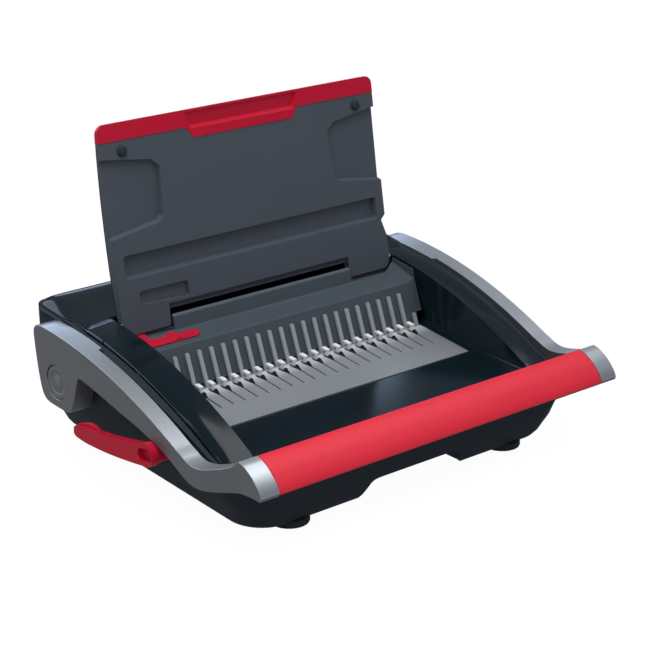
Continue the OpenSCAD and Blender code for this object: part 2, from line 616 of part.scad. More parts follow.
pocket_d = 5.5;
trough_d = 4.5;
side_pocket = [[lid_half + over, 171.5], [115, 163], [106, 155], [109, 110], [114, 105],
    [lid_half + over, 96]];
ear_r = 2.9;
flap_room = [[-over, cutout_up - over], [5, cutout_up - over], [5, cutout_up + 2], [-over, cutout_up + 14]];
module lid_panel() color([0.24, 0.26, 0.29]) place() lid_frame() difference() {
    union() {
        difference() {
            intersection() {
                lid_slab(cover_t);
                upright(-over, 20) difference() {
                    lid_outline(0);
                    rim_region();
                }
            }
            both_sides() upright(-over, pocket_d) polygon(side_pocket);
            upright(-over, trough_d) translate([-158, 57]) square([316, 19]);
            // step that clears the margin guide when the lid is shut
            upright(-over, 3) translate([-164, 24]) square([328, 34]);
            // chamfer that clears the flap when the lid is shut
            along_x(-cutout_half, cutout_half) polygon(flap_room);
        }
        both_sides() rod_x(158, lid_half, pin_local[0], pin_local[1], ear_r);
    }
    both_sides() rod_x(lid_half - 10, lid_half + over, pin_local[0], pin_local[1], pin_r + 0.02);
}
module lid_cover() color([0.07, 0.1, 0.13]) place() lid_frame() intersection() {
    difference() {
        lid_slab(0);
        lid_slab(cover_t);
    }
    upright(-over, 20) difference() {
        lid_outline(0);
        rim_region();
    }
}
finger = [[-72, lid_len - 2.4], [-62.5, lid_len - 19.4], [62.5, lid_len - 19.4], [72, lid_len - 2.4]];
module lid_rim() color([0.68, 0.1, 0.18]) place() lid_frame() difference() {
    intersection() {
        lid_slab(0);
        upright(-over, 20) intersection() {
            lid_outline(0);
            rim_region();
        }
    }
    upright(-over, 1.6) polygon(finger);
}
bumper_at = [145, lid_len - 27.5];
bumper_r = 5.6;
module lid_bumper(s) color([0.06, 0.06, 0.07]) place() lid_frame() translate([s * bumper_at[0], 0,
    bumper_at[1]])
    rotate([90, 0, 0]) rotate_extrude() polygon([[0, 0], [bumper_r, 0], [bumper_r, 2], [bumper_r - 1,
        3.2], [0, 3.2]]);
lid_arm = [lid_axis[0] - lid_foot[0], lid_axis[1] - lid_foot[1]];
pin_local = [lid_arm[0] * cos(lid_lean) - lid_arm[1] * sin(lid_lean),
    lid_arm[0] * sin(lid_lean) + lid_arm[1] * cos(lid_lean)];
module lid_pin(s) color("silver") place() 
    rod_x(s * (lid_half - 2) - 8, s * (lid_half - 2) + 8, lid_axis[0], lid_axis[1], pin_r);

// ---- margin guide and chip drawer ----
guide_gap = 0.3;
guide_t = 1.4;
strip_tilt = atan((strip_back[1] - face_top[1]) / (strip_back[0] - face_top[0]));
module edge_guide() color([0.8, 0.13, 0.24]) place() {
    translate([0, face_top[0], face_top[1] + guide_gap]) rotate([strip_tilt, 0, 0]) linear_extrude(guide_t)
        polygon([[-160, 4], [-98, 4], [-94, 9], [-96, 15.5], [-118, 17.5], [-126, 20], [-138, 20],
            [-142, 38], [-160, 38]]);
    // stop that reaches down into the paper slot
    slot_frame() block([-160, 0.4, 7.5], [-158, 2, 18.4]);
}

drawer_front = 30;
drawer_wall = 2;
drawer_back = [150.2, 154.4];            // its back follows the flare of the case
pull_y = 144;
module chip_drawer() color([0.13, 0.14, 0.15]) place() difference() {
    along_x(-drawer_half, drawer_half) polygon([[drawer_front, drawer_z[0]], [drawer_back[0], drawer_z[0]],
        [drawer_back[1], 45], [drawer_back[1] + 0.3, drawer_z[1]], [drawer_front, drawer_z[1]]]);
    block([-drawer_half + drawer_wall, drawer_front + drawer_wall, drawer_z[0] + drawer_wall],
          [drawer_half - drawer_wall, pull_y - drawer_wall, drawer_z[1] + over]);
    // finger pull
    block([-35, pull_y, drawer_z[0] + 5], [35, rear_y + over, drawer_z[1] - 6]);
}

base_pan();
bottom_plate();
tray_shell();
rear_cover();
chassis();
tine_housing();
comb_plate();
tine_comb();
die_front();
die_rear();
guide_rod(-1);  // guide_rod_left
guide_rod(1);  // guide_rod_right
hook_bar();
rack();
opener_lever();
opener_shaft();
opener_gear();
punch_bar();
punch_pins();
return_spring();
handle_shaft();
cam(-1);  // cam_left
cam(1);  // cam_right
shaft_bush(-1);  // shaft_bush_left
shaft_bush(1);  // shaft_bush_right
handle_arm_left();
handle_arm_right();
hub_cap_left();
hub_cap_right();
grip();
grip_tube();
lid_panel();
lid_cover();
lid_rim();
lid_bumper(-1);  // lid_bumper_left
lid_bumper(1);  // lid_bumper_right
lid_pin(-1);  // lid_pin_left
lid_pin(1);  // lid_pin_right
edge_guide();
chip_drawer();
foot(-foot_at[0], foot_at[1]);  // foot_front_left
foot(foot_at[0], foot_at[1]);  // foot_front_right
foot(-foot_at[0], foot_at[2]);  // foot_rear_left
foot(foot_at[0], foot_at[2]);  // foot_rear_right
base_screws();
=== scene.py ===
# %% [markdown]
# # A hand comb binder, dressed in Blender
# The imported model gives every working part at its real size. This lesson keeps the
# small steel parts as they are and gives them metal finishes, and remakes the big
# moulded parts, whose soft edges and swept surfaces are what the eye reads first.

# %% Load the frame
import json
import math

import bmesh
import bpy
from mathutils import Matrix, Vector


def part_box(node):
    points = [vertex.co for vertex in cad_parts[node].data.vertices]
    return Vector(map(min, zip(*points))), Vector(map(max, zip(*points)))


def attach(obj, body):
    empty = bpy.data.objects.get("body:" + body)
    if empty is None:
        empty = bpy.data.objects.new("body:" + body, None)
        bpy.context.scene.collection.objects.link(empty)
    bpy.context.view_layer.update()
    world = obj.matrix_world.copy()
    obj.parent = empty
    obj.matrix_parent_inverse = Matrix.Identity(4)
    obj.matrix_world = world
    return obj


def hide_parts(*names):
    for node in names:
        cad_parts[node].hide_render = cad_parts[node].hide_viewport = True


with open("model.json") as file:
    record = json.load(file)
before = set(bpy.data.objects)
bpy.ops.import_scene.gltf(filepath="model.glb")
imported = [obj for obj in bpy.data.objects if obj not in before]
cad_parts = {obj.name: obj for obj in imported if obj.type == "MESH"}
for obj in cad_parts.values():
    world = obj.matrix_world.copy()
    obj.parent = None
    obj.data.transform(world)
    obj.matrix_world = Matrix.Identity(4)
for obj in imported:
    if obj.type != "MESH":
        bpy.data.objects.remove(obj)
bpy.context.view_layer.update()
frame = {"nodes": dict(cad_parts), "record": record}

# %% [markdown]
# ## One working frame
# Binder shapes are easiest to think about from the feet of the comb tines: x = 0 on the
# middle plane, y = 0 at the tines and millimetres throughout. Two parts of the packed
# model that we know well, the arms and a hub cap, tell us where that point is.

# %% Place and scale
MM = 0.001
SIDES = (("right", 1), ("left", -1))
HUB = (84.0, 88.0)  # handle axis, y and z in millimetres
left_arm, right_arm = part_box("handle_arm_left"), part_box("handle_arm_right")
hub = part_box("hub_cap_right")
SHIFT = Vector(((left_arm[0][0] + right_arm[1][0]) / 2, (hub[0][1] + hub[1][1]) / 2 - HUB[0] * MM, 0))
PLACE = Matrix.Translation(SHIFT) @ Matrix.Scale(MM, 4)
ARM_OUT = round((right_arm[1][0] - SHIFT.x) / MM, 1)
print("working frame starts at", [round(c, 5) for c in SHIFT], "arms reach", ARM_OUT)

# %% [markdown]
# ## Mesh helpers
# Most moulded parts here are a side outline pushed out sideways, so one helper does
# that. Others round an outline's corners with arcs, draw a smooth curve through a few
# points, and turn a finished bmesh into a piece that rides on its body.

# %% Outline helpers
def arc(centre, radius, start, end, steps):
    """Points of an arc in a plane, angles in degrees."""
    turn = [math.radians(start + (end - start) * i / steps) for i in range(steps + 1)]
    return [(centre[0] + radius * math.cos(a), centre[1] + radius * math.sin(a)) for a in turn]


def rounded(corners, steps=4):
    """A closed outline of (a, b, radius) corners with every corner turned into an arc."""
    outline = []
    for i, (a, b, radius) in enumerate(corners):
        here = Vector((a, b))
        before = Vector(corners[i - 1][:2]) - here
        after = Vector(corners[(i + 1) % len(corners)][:2]) - here
        if radius <= 0:
            outline.append((a, b))
            continue
        half = before.angle(after) / 2
        cut = min(radius / math.tan(half), 0.49 * before.length, 0.49 * after.length)
        middle = here + (before.normalized() + after.normalized()).normalized() * cut / math.cos(half)
        spoke = here + before.normalized() * cut - middle
        first = math.degrees(math.atan2(spoke.y, spoke.x))
        turn = math.copysign(180 - math.degrees(2 * half), before.x * after.y - before.y * after.x)
        outline += arc(middle, spoke.length, first, first - turn, steps)
    return outline


def curve(points, steps=4):
    """A Catmull-Rom curve through points, ends included."""
    smooth = []
    for i in range(len(points) - 1):
        p = [Vector(points[max(0, min(len(points) - 1, i + k))]) for k in (-1, 0, 1, 2)]
        bend = 2 * p[0] - 5 * p[1] + 4 * p[2] - p[3]
        twist = 3 * p[1] - p[0] - 3 * p[2] + p[3]
        for k in range(steps):
            t = k / steps
            smooth.append(tuple(0.5 * (2 * p[1] + (p[2] - p[0]) * t + bend * t * t + twist * t ** 3)))
    return smooth + [tuple(points[-1])]


def follow(line, at):
    """Straight interpolation along (position, values...) stops; None outside them."""
    for a, b in zip(line, line[1:]):
        if min(a[0], b[0]) <= at <= max(a[0], b[0]):
            t = (at - a[0]) / (b[0] - a[0])
            return [p + (q - p) * t for p, q in zip(a[1:], b[1:])]


def smoothstep(t):
    """From 0 to 1 with a soft start and end."""
    t = min(1.0, max(0.0, t))
    return t * t * (3 - 2 * t)


# %% Solid helpers
def only(kind, geom):
    """The vertices or the edges among what a bmesh operator returns."""
    return [g for g in geom if isinstance(g, kind)]


def push_out(bm, corners, along):
    """A flat face through the corners, pushed out along a vector."""
    face = bm.faces.new([bm.verts.new(corner) for corner in corners])
    grown = bmesh.ops.extrude_face_region(bm, geom=[face])["geom"]
    bmesh.ops.translate(bm, verts=only(bmesh.types.BMVert, grown), vec=along)
    return bm


def prism(outline, low, high):
    """A side outline in (y, z) pushed out along x from low to high."""
    return push_out(bmesh.new(), [(low, y, z) for y, z in outline], (high - low, 0, 0))


def plan_prism(outline, low, high):
    """A front outline in (x, z) pushed out along y."""
    return push_out(bmesh.new(), [(x, low, z) for x, z in outline], (0, high - low, 0))


def surface_grid(across, down, place):
    """A grid of points, i across and j down, each put where place(i, j) says."""
    bm = bmesh.new()
    made = bmesh.ops.create_grid(bm, x_segments=across - 1, y_segments=down - 1, size=1.0)["verts"]
    for v in made:
        v.co = place(round((v.co.x + 1) / 2 * (across - 1)), round((1 - v.co.y) / 2 * (down - 1)))
    return bm


def slice_at(bm, point, normal, **keep):
    """Cuts every face that a plane crosses, and returns the cut."""
    whole = bm.verts[:] + bm.edges[:] + bm.faces[:]
    return bmesh.ops.bisect_plane(bm, geom=whole, plane_co=point, plane_no=normal, **keep)["geom_cut"]


def drop_faces(bm, test):
    """Deletes the faces whose middle passes a test."""
    gone = [f for f in bm.faces if test(f.calc_center_median())]
    bmesh.ops.delete(bm, geom=gone, context="FACES")


JOIN = 0.0005  # points of a turned part that are this near are one
def turned(profile, axis_at, along, steps=48):
    """A turned part: (radius, offset) profile spun about a line through axis_at."""
    bm = bmesh.new()
    along = Vector(along).normalized()
    side = along.orthogonal().normalized()
    verts = [bm.verts.new(Vector(axis_at) + side * r + along * o) for r, o in profile]
    edges = [bm.edges.new(pair) for pair in zip(verts, verts[1:])]
    bmesh.ops.spin(bm, geom=verts + edges, cent=axis_at, axis=along, angle=math.tau, steps=steps,
                   use_merge=True)
    bmesh.ops.remove_doubles(bm, verts=bm.verts, dist=JOIN)
    return bm


def stand(name, data):
    """A new object in the scene, from its data or from a finished bmesh."""
    if isinstance(data, bmesh.types.BMesh):
        mesh = bpy.data.meshes.new(name)
        data.to_mesh(mesh)
        data.free()
        data = mesh
    obj = bpy.data.objects.new(name, data)
    bpy.context.scene.collection.objects.link(obj)
    return obj


def piece(name, bm, body, slot, hides=(), smooth=32, lean=Matrix(), finish=None):
    """Moves a finished bmesh to its place and makes it a part, finished as its slot is."""
    bmesh.ops.transform(bm, matrix=PLACE @ lean, verts=bm.verts)
    bmesh.ops.recalc_face_normals(bm, faces=bm.faces)
    obj = stand(name, bm)
    obj.data.materials.append(finish or FINISH[slot])
    obj.data.shade_smooth()
    obj.data.set_sharp_from_angle(angle=math.radians(smooth))
    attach(obj, body)
    if hides:
        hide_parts(*hides)
    print(name, len(obj.data.polygons), "faces")
    return obj


def soften(obj, width, segments, angle=30):
    """Rounds a piece's hard edges; width in millimetres."""
    bevel = obj.modifiers.new("soft edges", "BEVEL")
    bevel.width = width * MM
    bevel.segments = segments
    bevel.limit_method = "ANGLE"
    bevel.angle_limit = math.radians(angle)
    bevel.harden_normals = True
    bevel.use_clamp_overlap = True
    return obj


def thicken(obj, thickness, offset=-1, even=True):
    """Gives a skin its wall; thickness in millimetres."""
    wall = obj.modifiers.new("wall", "SOLIDIFY")
    wall.thickness = thickness * MM
    wall.offset = offset
    wall.use_even_offset = even
    return obj


def apply_modifier(obj, name):
    bpy.context.view_layer.objects.active = obj
    bpy.ops.object.modifier_apply(modifier=name)


SHARP = 32  # degrees at which an edge counts as sharp
def carve(obj, cutters, lean=Matrix()):
    """Cuts the cutters' volumes out of a piece and applies the result."""
    for cutter in cutters:
        bmesh.ops.transform(cutter, matrix=PLACE @ lean, verts=cutter.verts)
        bmesh.ops.recalc_face_normals(cutter, faces=cutter.faces)
        tool = stand("cutter", cutter)
        cut = obj.modifiers.new("cut", "BOOLEAN")
        cut.operation = "DIFFERENCE"
        cut.solver = "EXACT"
        cut.object = tool
        apply_modifier(obj, cut.name)
        bpy.data.objects.remove(tool)
    obj.data.shade_smooth()
    obj.data.set_sharp_from_angle(angle=math.radians(SHARP))


# %% [markdown]
# ## Finishes
# A few effects turn up again and again: a fine moulded grain, the slow uneven sheen of
# handling, brushing, a painted shade that darkens the sides and undersides, and a painted
# highlight that fades in. Each is a shader node group with named inputs, built once.

# %% Shader group helpers
def new_group(name, inputs, outputs):
    """An empty shader group with its sockets, each a (name, type)."""
    group = bpy.data.node_groups.new(name, "ShaderNodeTree")
    for way, sockets in (("INPUT", inputs), ("OUTPUT", outputs)):
        for label, kind in sockets:
            group.interface.new_socket(label, in_out=way, socket_type=kind)
    return group, group.nodes.new("NodeGroupInput").outputs


def close_group(group, **results):
    """Gives a group its results and returns it."""
    gout = group.nodes.new("NodeGroupOutput")
    for label, socket in results.items():
        group.links.new(socket, gout.inputs[label])
    return group


def on_object(tree):
    """Where a point lies on the machine."""
    return tree.nodes.new("ShaderNodeTexCoord").outputs["Object"]


def feed(tree, value, socket):
    """Links a socket to another one, or sets it to a fixed value."""
    if isinstance(value, bpy.types.NodeSocket):
        tree.links.new(value, socket)
    else:
        socket.default_value = value


def math_node(tree, operation, a, b, clamp=False):
    node = tree.nodes.new("ShaderNodeMath")
    node.operation = operation
    node.use_clamp = clamp
    for socket, value in zip(node.inputs, (a, b)):
        feed(tree, value, socket)
    return node.outputs[0]


def noise(tree, vector, scale, detail):
    node = tree.nodes.new("ShaderNodeTexNoise")
    for label, value in (("Vector", vector), ("Scale", scale), ("Detail", detail), ("Roughness", 0.55)):
        feed(tree, value, node.inputs[label])
    return node.outputs["Fac"]


def parts_of(tree, vector):
    """The x, y and z of a vector."""
    node = tree.nodes.new("ShaderNodeSeparateXYZ")
    tree.links.new(vector, node.inputs[0])
    return node.outputs


def bumped(tree, height, depth):
    """A normal that follows a height; depth in metres."""
    bump = tree.nodes.new("ShaderNodeBump")
    bump.inputs["Distance"].default_value = depth
    tree.links.new(height, bump.inputs["Height"])
    return bump.outputs["Normal"]


def blend(tree, share, a, b):
    """A mix of two colours, each a socket or a fixed colour."""
    node = tree.nodes.new("ShaderNodeMix")
    node.data_type = "RGBA"
    for label, value in (("Factor", share), ("A", a), ("B", b)):
        feed(tree, value, node.inputs[label])
    return node.outputs["Result"]


FLOAT, VECTOR, COLOR = "NodeSocketFloat", "NodeSocketVector", "NodeSocketColor"

# %% The grain, handling and brushing groups
def build_grain():
    """Moulded grain: a normal that is pitted finely and wavers slowly."""
    inputs = [("Scale", FLOAT), ("Depth", FLOAT), ("Wave", FLOAT)]
    group, given = new_group("moulded grain", inputs, [("Normal", VECTOR)])
    pits = noise(group, on_object(group), given["Scale"], 2.0)
    slow = noise(group, on_object(group), 9.0, 1.0)
    height = math_node(group, "ADD", math_node(group, "MULTIPLY", pits, given["Depth"]),
                       math_node(group, "MULTIPLY", slow, given["Wave"]))
    return close_group(group, Normal=bumped(group, height, 0.0003))


def build_handling():
    """Handling: roughness and colour that drift a little over the surface."""
    inputs = [("Color", COLOR), ("Roughness", FLOAT), ("Drift", FLOAT), ("Tone", FLOAT)]
    group, given = new_group("handling", inputs, [("Color", COLOR), ("Roughness", FLOAT)])
    slow = math_node(group, "SUBTRACT", noise(group, on_object(group), 14.0, 4.0), 0.5)
    rough = math_node(group, "ADD", given["Roughness"],
                      math_node(group, "MULTIPLY", slow, given["Drift"]), clamp=True)
    tone = math_node(group, "ADD", 1.0, math_node(group, "MULTIPLY", slow, given["Tone"]))
    shade = group.nodes.new("ShaderNodeVectorMath")
    shade.operation = "SCALE"
    group.links.new(given["Color"], shade.inputs[0])
    group.links.new(tone, shade.inputs["Scale"])
    return close_group(group, Color=shade.outputs[0], Roughness=rough)


def build_brushing():
    """Brushed steel: fine streaks along x in height, and in roughness."""
    inputs = [("Roughness", FLOAT), ("Depth", FLOAT)]
    group, given = new_group("brushing", inputs, [("Normal", VECTOR), ("Roughness", FLOAT)])
    stretch = group.nodes.new("ShaderNodeMapping")
    stretch.inputs["Scale"].default_value = (0.035, 1.0, 1.0)
    group.links.new(on_object(group), stretch.inputs["Vector"])
    streak = noise(group, stretch.outputs["Vector"], 2200.0, 3.0)
    uneven = math_node(group, "MULTIPLY", math_node(group, "SUBTRACT", streak, 0.5), 0.22)
    rough = math_node(group, "ADD", given["Roughness"], uneven, clamp=True)
    height = math_node(group, "MULTIPLY", streak, given["Depth"])
    return close_group(group, Normal=bumped(group, height, 0.0002), Roughness=rough)


TURNED_ASIDE = (0.9, 0.985)  # how far a face looks aside or down where its colour changes
def build_side_shade():
    """Painted shade: faces that look sideways or down take the darker Flank colour, as if in shade; faces
    that look up keep the Crown colour.
    """
    group, given = new_group("painted side shade", [("Crown", COLOR), ("Flank", COLOR)], [("Color", COLOR)])
    normal = parts_of(group, group.nodes.new("ShaderNodeNewGeometry").outputs["Normal"])
    ramp = group.nodes.new("ShaderNodeMapRange")
    aside = math_node(group, "ABSOLUTE", normal["X"], 0.0)
    down = math_node(group, "SUBTRACT", 1.0, normal["Z"])
    group.links.new(math_node(group, "MAXIMUM", aside, down), ramp.inputs["Value"])
    ramp.inputs["From Min"].default_value, ramp.inputs["From Max"].default_value = TURNED_ASIDE
    return close_group(group, Color=blend(group, ramp.outputs["Result"], given["Crown"], given["Flank"]))


def build_painted_highlight():
    """A painted highlight's mask, which rises from 0 to 1 between two places along the depth of the machine.
    """
    group, given = new_group("painted highlight", [("From", FLOAT), ("To", FLOAT)], [("Mask", FLOAT)])
    ramp = group.nodes.new("ShaderNodeMapRange")
    ramp.interpolation_type = "SMOOTHSTEP"
    group.links.new(parts_of(group, on_object(group))["Y"], ramp.inputs["Value"])
    group.links.new(given["From"], ramp.inputs["From Min"])
    group.links.new(given["To"], ramp.inputs["From Max"])
    return close_group(group, Mask=ramp.outputs["Result"])


GRAIN, HANDLING, BRUSHING = build_grain(), build_handling(), build_brushing()
SIDE_SHADE, HIGHLIGHT_RAMP = build_side_shade(), build_painted_highlight()
print("shader groups:", [g.name for g in bpy.data.node_groups])

# %% [markdown]
# ## Plastics and metals
# A moulded plastic is a colour, a sheen and a grain; only the numbers differ, so one
# function makes them all. Steel swaps the grain for brushing and is metallic.

# %% Material makers
def shader(name):
    material = bpy.data.materials.new(name)
    material.use_nodes = True
    return material, material.node_tree, material.node_tree.nodes["Principled BSDF"]


def add_group(tree, group, **values):
    node = tree.nodes.new("ShaderNodeGroup")
    node.node_tree = group
    for label, value in values.items():
        feed(tree, value, node.inputs[label])
    return node


def wire(tree, surface, metallic, worn, sheen, relief):
    """Feeds a surface its colour, roughness and normal from three groups."""
    tree.links.new(worn.outputs["Color"], surface.inputs["Base Color"])
    tree.links.new(sheen.outputs["Roughness"], surface.inputs["Roughness"])
    tree.links.new(relief.outputs["Normal"], surface.inputs["Normal"])
    surface.inputs["Metallic"].default_value = metallic


def plastic(name, color, roughness, grain, specular, drift=0.08, tone=0.1, metallic=0.0, flank=None):
    """A moulded or painted finish; grain is its scale, depth and slow waviness."""
    material, tree, surface = shader(name)
    paint = (*color, 1)
    # Painted shade: flank is a darker colour for faces that look sideways or down.
    if flank:
        paint = add_group(tree, SIDE_SHADE, Crown=paint, Flank=(*flank, 1)).outputs["Color"]
    worn = add_group(tree, HANDLING, Color=paint, Roughness=roughness, Drift=drift, Tone=tone)
    skin = add_group(tree, GRAIN, Scale=grain[0], Depth=grain[1], Wave=grain[2])
    wire(tree, surface, metallic, worn, worn, skin)
    surface.inputs["Specular IOR Level"].default_value = specular
    return material


def steel(name, color, roughness, depth=0.15, metallic=1.0, highlight=None):
    """A brushed finish; highlight is a painted highlight: where it starts to brighten, where it ends, and to
    what colour.
    """
    material, tree, surface = shader(name)
    paint = (*color, 1)
    if highlight:
        start, end, bright = highlight
        mask = add_group(tree, HIGHLIGHT_RAMP, From=start, To=end).outputs["Mask"]
        paint = blend(tree, mask, paint, (*bright, 1))
    brushed = add_group(tree, BRUSHING, Roughness=roughness, Depth=depth)
    worn = add_group(tree, HANDLING, Color=paint, Roughness=roughness, Drift=0.0, Tone=0.12)
    wire(tree, surface, metallic, worn, brushed, brushed)
    return material


# %% The machine's finishes
# Painted highlight: the plate's colour brightens towards the tines, standing in for the light it catches
# there.
PLATE_HIGHLIGHT = (SHIFT.y - 22 * MM, SHIFT.y - 2 * MM, (0.82, 0.84, 0.87))  # the plate is bright by the tines
ZINC = steel("zinc steel", (0.3, 0.32, 0.34), 0.42, metallic=0.6)
FINISH = {
    "gloss_shell": plastic("gloss shell", (0.0045, 0.011, 0.0155), 0.14, (500.0, 0.0, 0.05), 0.3, 0.04, 0.2),
    "matte_dark_plastic": plastic("matte case", (0.021, 0.030, 0.041), 0.55, (2600.0, 0.5, 0.15), 0.12, 0.1),
    "black_plastic": plastic("underside black", (0.012, 0.014, 0.017), 0.6, (1500.0, 0.5, 0.1), 0.1),
    "grey_plastic": plastic("slate lid", (0.076, 0.090, 0.112), 0.46, (2600.0, 0.35, 0.1), 0.2, 0.1),
    "red_plastic": plastic("red trim", (0.55, 0.009, 0.036), 0.34, (1800.0, 0.1, 0.1), 0.16),
    "red_grip": plastic("red grip", (0.75, 0.026, 0.05), 0.38, (2200.0, 0.15, 0.1), 0.18),
    "rubber_black": plastic("black rubber", (0.03, 0.036, 0.041), 0.7, (1800.0, 0.6, 0.1), 0.15),
    # The arms' sideways and downward faces take a darker painted shade.
    "silver_paint": plastic("silver paint", (0.45, 0.48, 0.51), 0.3, (4200.0, 0.03, 0.02), 0.4, metallic=0.65,
                            flank=(0.19, 0.2, 0.215)),
    "cap_grey": plastic("hub grey", (0.155, 0.165, 0.175), 0.4, (2600.0, 0.3, 0.1), 0.3),
    "brushed_plate": steel("brushed plate", (0.36, 0.385, 0.41), 0.38, metallic=0.45, highlight=PLATE_HIGHLIGHT),
    "tine_steel": steel("tine steel", (0.46, 0.49, 0.52), 0.36, 0.1, metallic=0.35),
    "bright_steel": steel("bright steel", (0.96, 0.97, 0.98), 0.24, 0.05, metallic=0.15),
    "bronze": steel("bronze", (0.55, 0.38, 0.16), 0.42), "zinc_steel": ZINC, "spring_steel": ZINC}
HOUSING = plastic("housing grey", (0.066, 0.084, 0.101), 0.44, (2600.0, 0.3, 0.1), 0.25)
slot_of_node = {part["node"]: part["material_slot"] for part in frame["record"]["subparts"]}
for node, obj in frame["nodes"].items():
    obj.data.materials.clear()
    obj.data.materials.append(FINISH[slot_of_node[node]])
print(len(bpy.data.materials), "materials")

# %% [markdown]
# ## The handle arms
# Each arm is a long casting that sweeps down from its hub to a saddle and up again to
# the grip, and only its front end turns inwards. We draw the side outline once, push it
# out to the arm's width, slice it into short lengths and then lean each slice inwards.

# %% Arm outline
ARM_TOP = 125.0  # height of the arm's top over the tines
def arm_top(y):
    return ARM_TOP + 0.24 * y - y * y / 980


ARM_BACK = [(94, 63), (104, 65), (110.5, 72), (115, 86), (118, 101), (120.3, 116), (121.6, 129), (120, 134.5),
            (115.5, 138.2)]
ARM_SADDLE = [(-112, arm_top(-112)), (-120, 82.2), (-129, 78.6), (-138, 77.2), (-148, 78.4), (-160, 81.8),
              (-174, 86.6), (-183, 90.8), (-190, 97.2)]
ARM_NOSE = [(-190, 97.2), (-196, 95.8), (-202, 92.9), (-208, 89.1), (-213.5, 84.2), (-217.8, 79.4),
            (-220.4, 75.2), (-221.3, 72.6)]
ARM_UNDER = [(-220.8, 70.6), (-218.4, 69.2), (-205, 69.4), (-185, 66.5), (-163, 61.2), (-146, 58.4),
             (-133, 58.8), (-120, 63.4), (-104, 71), (-88, 77), (-57, 85.7), (-25, 92), (7, 98.7),
             (40, 104.4)]
ARM_HEEL = [(44.5, 104), (46.5, 101), (49, 93.4), (53.5, 79.7), (60, 65.8), (64, 63), (71, 62.2), (94, 63)]
arm_outline = (curve(ARM_BACK)[:-1] + [(y, arm_top(y)) for y in range(108, -112, -8)] + curve(ARM_SADDLE)[:-1]
               + curve(ARM_NOSE) + curve(ARM_UNDER) + curve(ARM_HEEL)[:-1])
print("arm outline has", len(arm_outline), "points")

# %% Arm solid
ARM_IN_FRONT, ARM_IN_BACK, ARM_STEP = 215.0, 210.3, 34.8
GRIP_HALF = 201.0
TURN_OUTER = (-148, 42, 11.0)  # where the outer side turns in, over what length, how far
TURN_INNER = (-126, 48)
def lean_in(v):
    """Moves a point of the straight arm to where the turned-in arm has it."""
    if v.co.x > (ARM_OUT + ARM_IN_FRONT) / 2:
        start, length, reach = TURN_OUTER
        v.co.x = ARM_OUT - reach * min(1.0, max(0.0, (start - v.co.y) / length)) ** 1.5
    elif v.co.y < TURN_INNER[0]:
        t = min(1.0, (TURN_INNER[0] - v.co.y) / TURN_INNER[1])
        v.co.x = ARM_IN_FRONT - (ARM_IN_FRONT - GRIP_HALF) * (1 - math.sqrt(1 - t * t))
    elif v.co.y > ARM_STEP + 1:
        v.co.x = ARM_IN_BACK


def arm_solid():
    bm = prism(arm_outline, ARM_IN_FRONT, ARM_OUT)
    for y in [ARM_STEP + 1.2, ARM_STEP] + [-120 - 4 * i for i in range(26)]:
        slice_at(bm, (0, y, 0), (0, 1, 0))
    for v in bm.verts:
        lean_in(v)
    return bm


MIRROR = Matrix.Scale(-1, 4, (1, 0, 0))
RECESS_R, RECESS_D = 17.5, 4  # the round recess that takes the hub cap
for side, lean in (("right", Matrix()), ("left", MIRROR)):
    arm = piece(f"arm_{side}", arm_solid(), "handle", "silver_paint", [f"handle_arm_{side}"], lean=lean)
    recess = [(0, 0), (RECESS_R, 0), (RECESS_R, RECESS_D + 2), (0, RECESS_D + 2)]
    carve(arm, [turned(recess, (ARM_OUT - RECESS_D, *HUB), (1, 0, 0), 64)], lean)
    soften(arm, 1.3, 3, 38)

# %% [markdown]
# ## The grip
# The grip is one moulding with a soft ridge at the back, a domed front and a hollow
# underneath. Its outline is the arms' own nose carried across the machine, so the two
# always meet.

# %% Grip
GRIP_UNDER = [(-218.6, 69.6), (-205, 70), (-198, 74), (-191, 82), (-188.4, 90), (-187.8, 95.4)]
GRIP_GAP_SHADE = [(-219.8, 71), (-219, 69), (-216.5, 67.6), (-208, 68.2), (-206, 71)]
grip_outline = curve(ARM_NOSE) + [(-220.9, 70.9)] + curve(GRIP_UNDER)
grip_bm = prism(grip_outline, 0.3 - GRIP_HALF, GRIP_HALF - 0.3)
soften(piece("grip_moulding", grip_bm, "handle", "red_grip", ["grip"], smooth=50), 0.8, 2, 50)
# Painted shade: a thin black strip under the grip's lower edge stands in for the dark gap beneath it.
piece("grip_gap_shade", prism(GRIP_GAP_SHADE, 0.5 - GRIP_HALF, GRIP_HALF - 0.5), "handle", "black_plastic")

# %% [markdown]
# ## Hub caps
# A hub cap is a turned disc: raised rim, shallow groove and a plain boss. Spinning a
# short profile about the hinge axis gives it true circles.

# %% Hub caps
CAP_PROFILE = [(0, 3.4), (6.4, 3.4), (7, 2.9), (7.4, 2.2), (11.2, 2.2), (11.8, 2.9), (12.6, 3.4), (15, 3.5),
               (16.4, 3.1), (17.1, 2.2), (17.3, 0), (0, 0)]
for side, s in SIDES:
    disc = turned(CAP_PROFILE, (s * (ARM_OUT - RECESS_D), *HUB), (s, 0, 0), 64)
    piece(f"hub_{side}", disc, "handle", "cap_grey", [f"hub_cap_{side}"], smooth=40)

# %% [markdown]
# ## The glossy tray
# The tray is one injection moulding: two broad side bands, the walls of the well, the
# deck and a lip that rolls over the front. A grid is the right start, because every part
# of it is a height over a plan position. Rows run across the machine and are squeezed to
# the plan outline at the rounded front corners.

# %% Tray surface
WELL, SEAM, CORNER = 172.0, 203.4, 35.0
FRONT_Y, SEAM_Z = -177.7, 43.4
EDGE = 1.2  # height of the shell's rolled outer edge
PLATE_Z, PLATE_TILT = 78.8, math.radians(5.94)
APRON_FROM, APRON_SLOPE = -75, 0.0528
def crest(y):
    """Height of the rim of the well, a shallow arch along the machine."""
    return 130.3 + 0.2244 * y - y * y / 880


def deck(y):
    """Height of the deck: plate slope, then a flatter apron."""
    slope = math.tan(PLATE_TILT)
    if y > APRON_FROM:
        return PLATE_Z + slope * y
    return PLATE_Z + slope * APRON_FROM + (y - APRON_FROM) * APRON_SLOPE


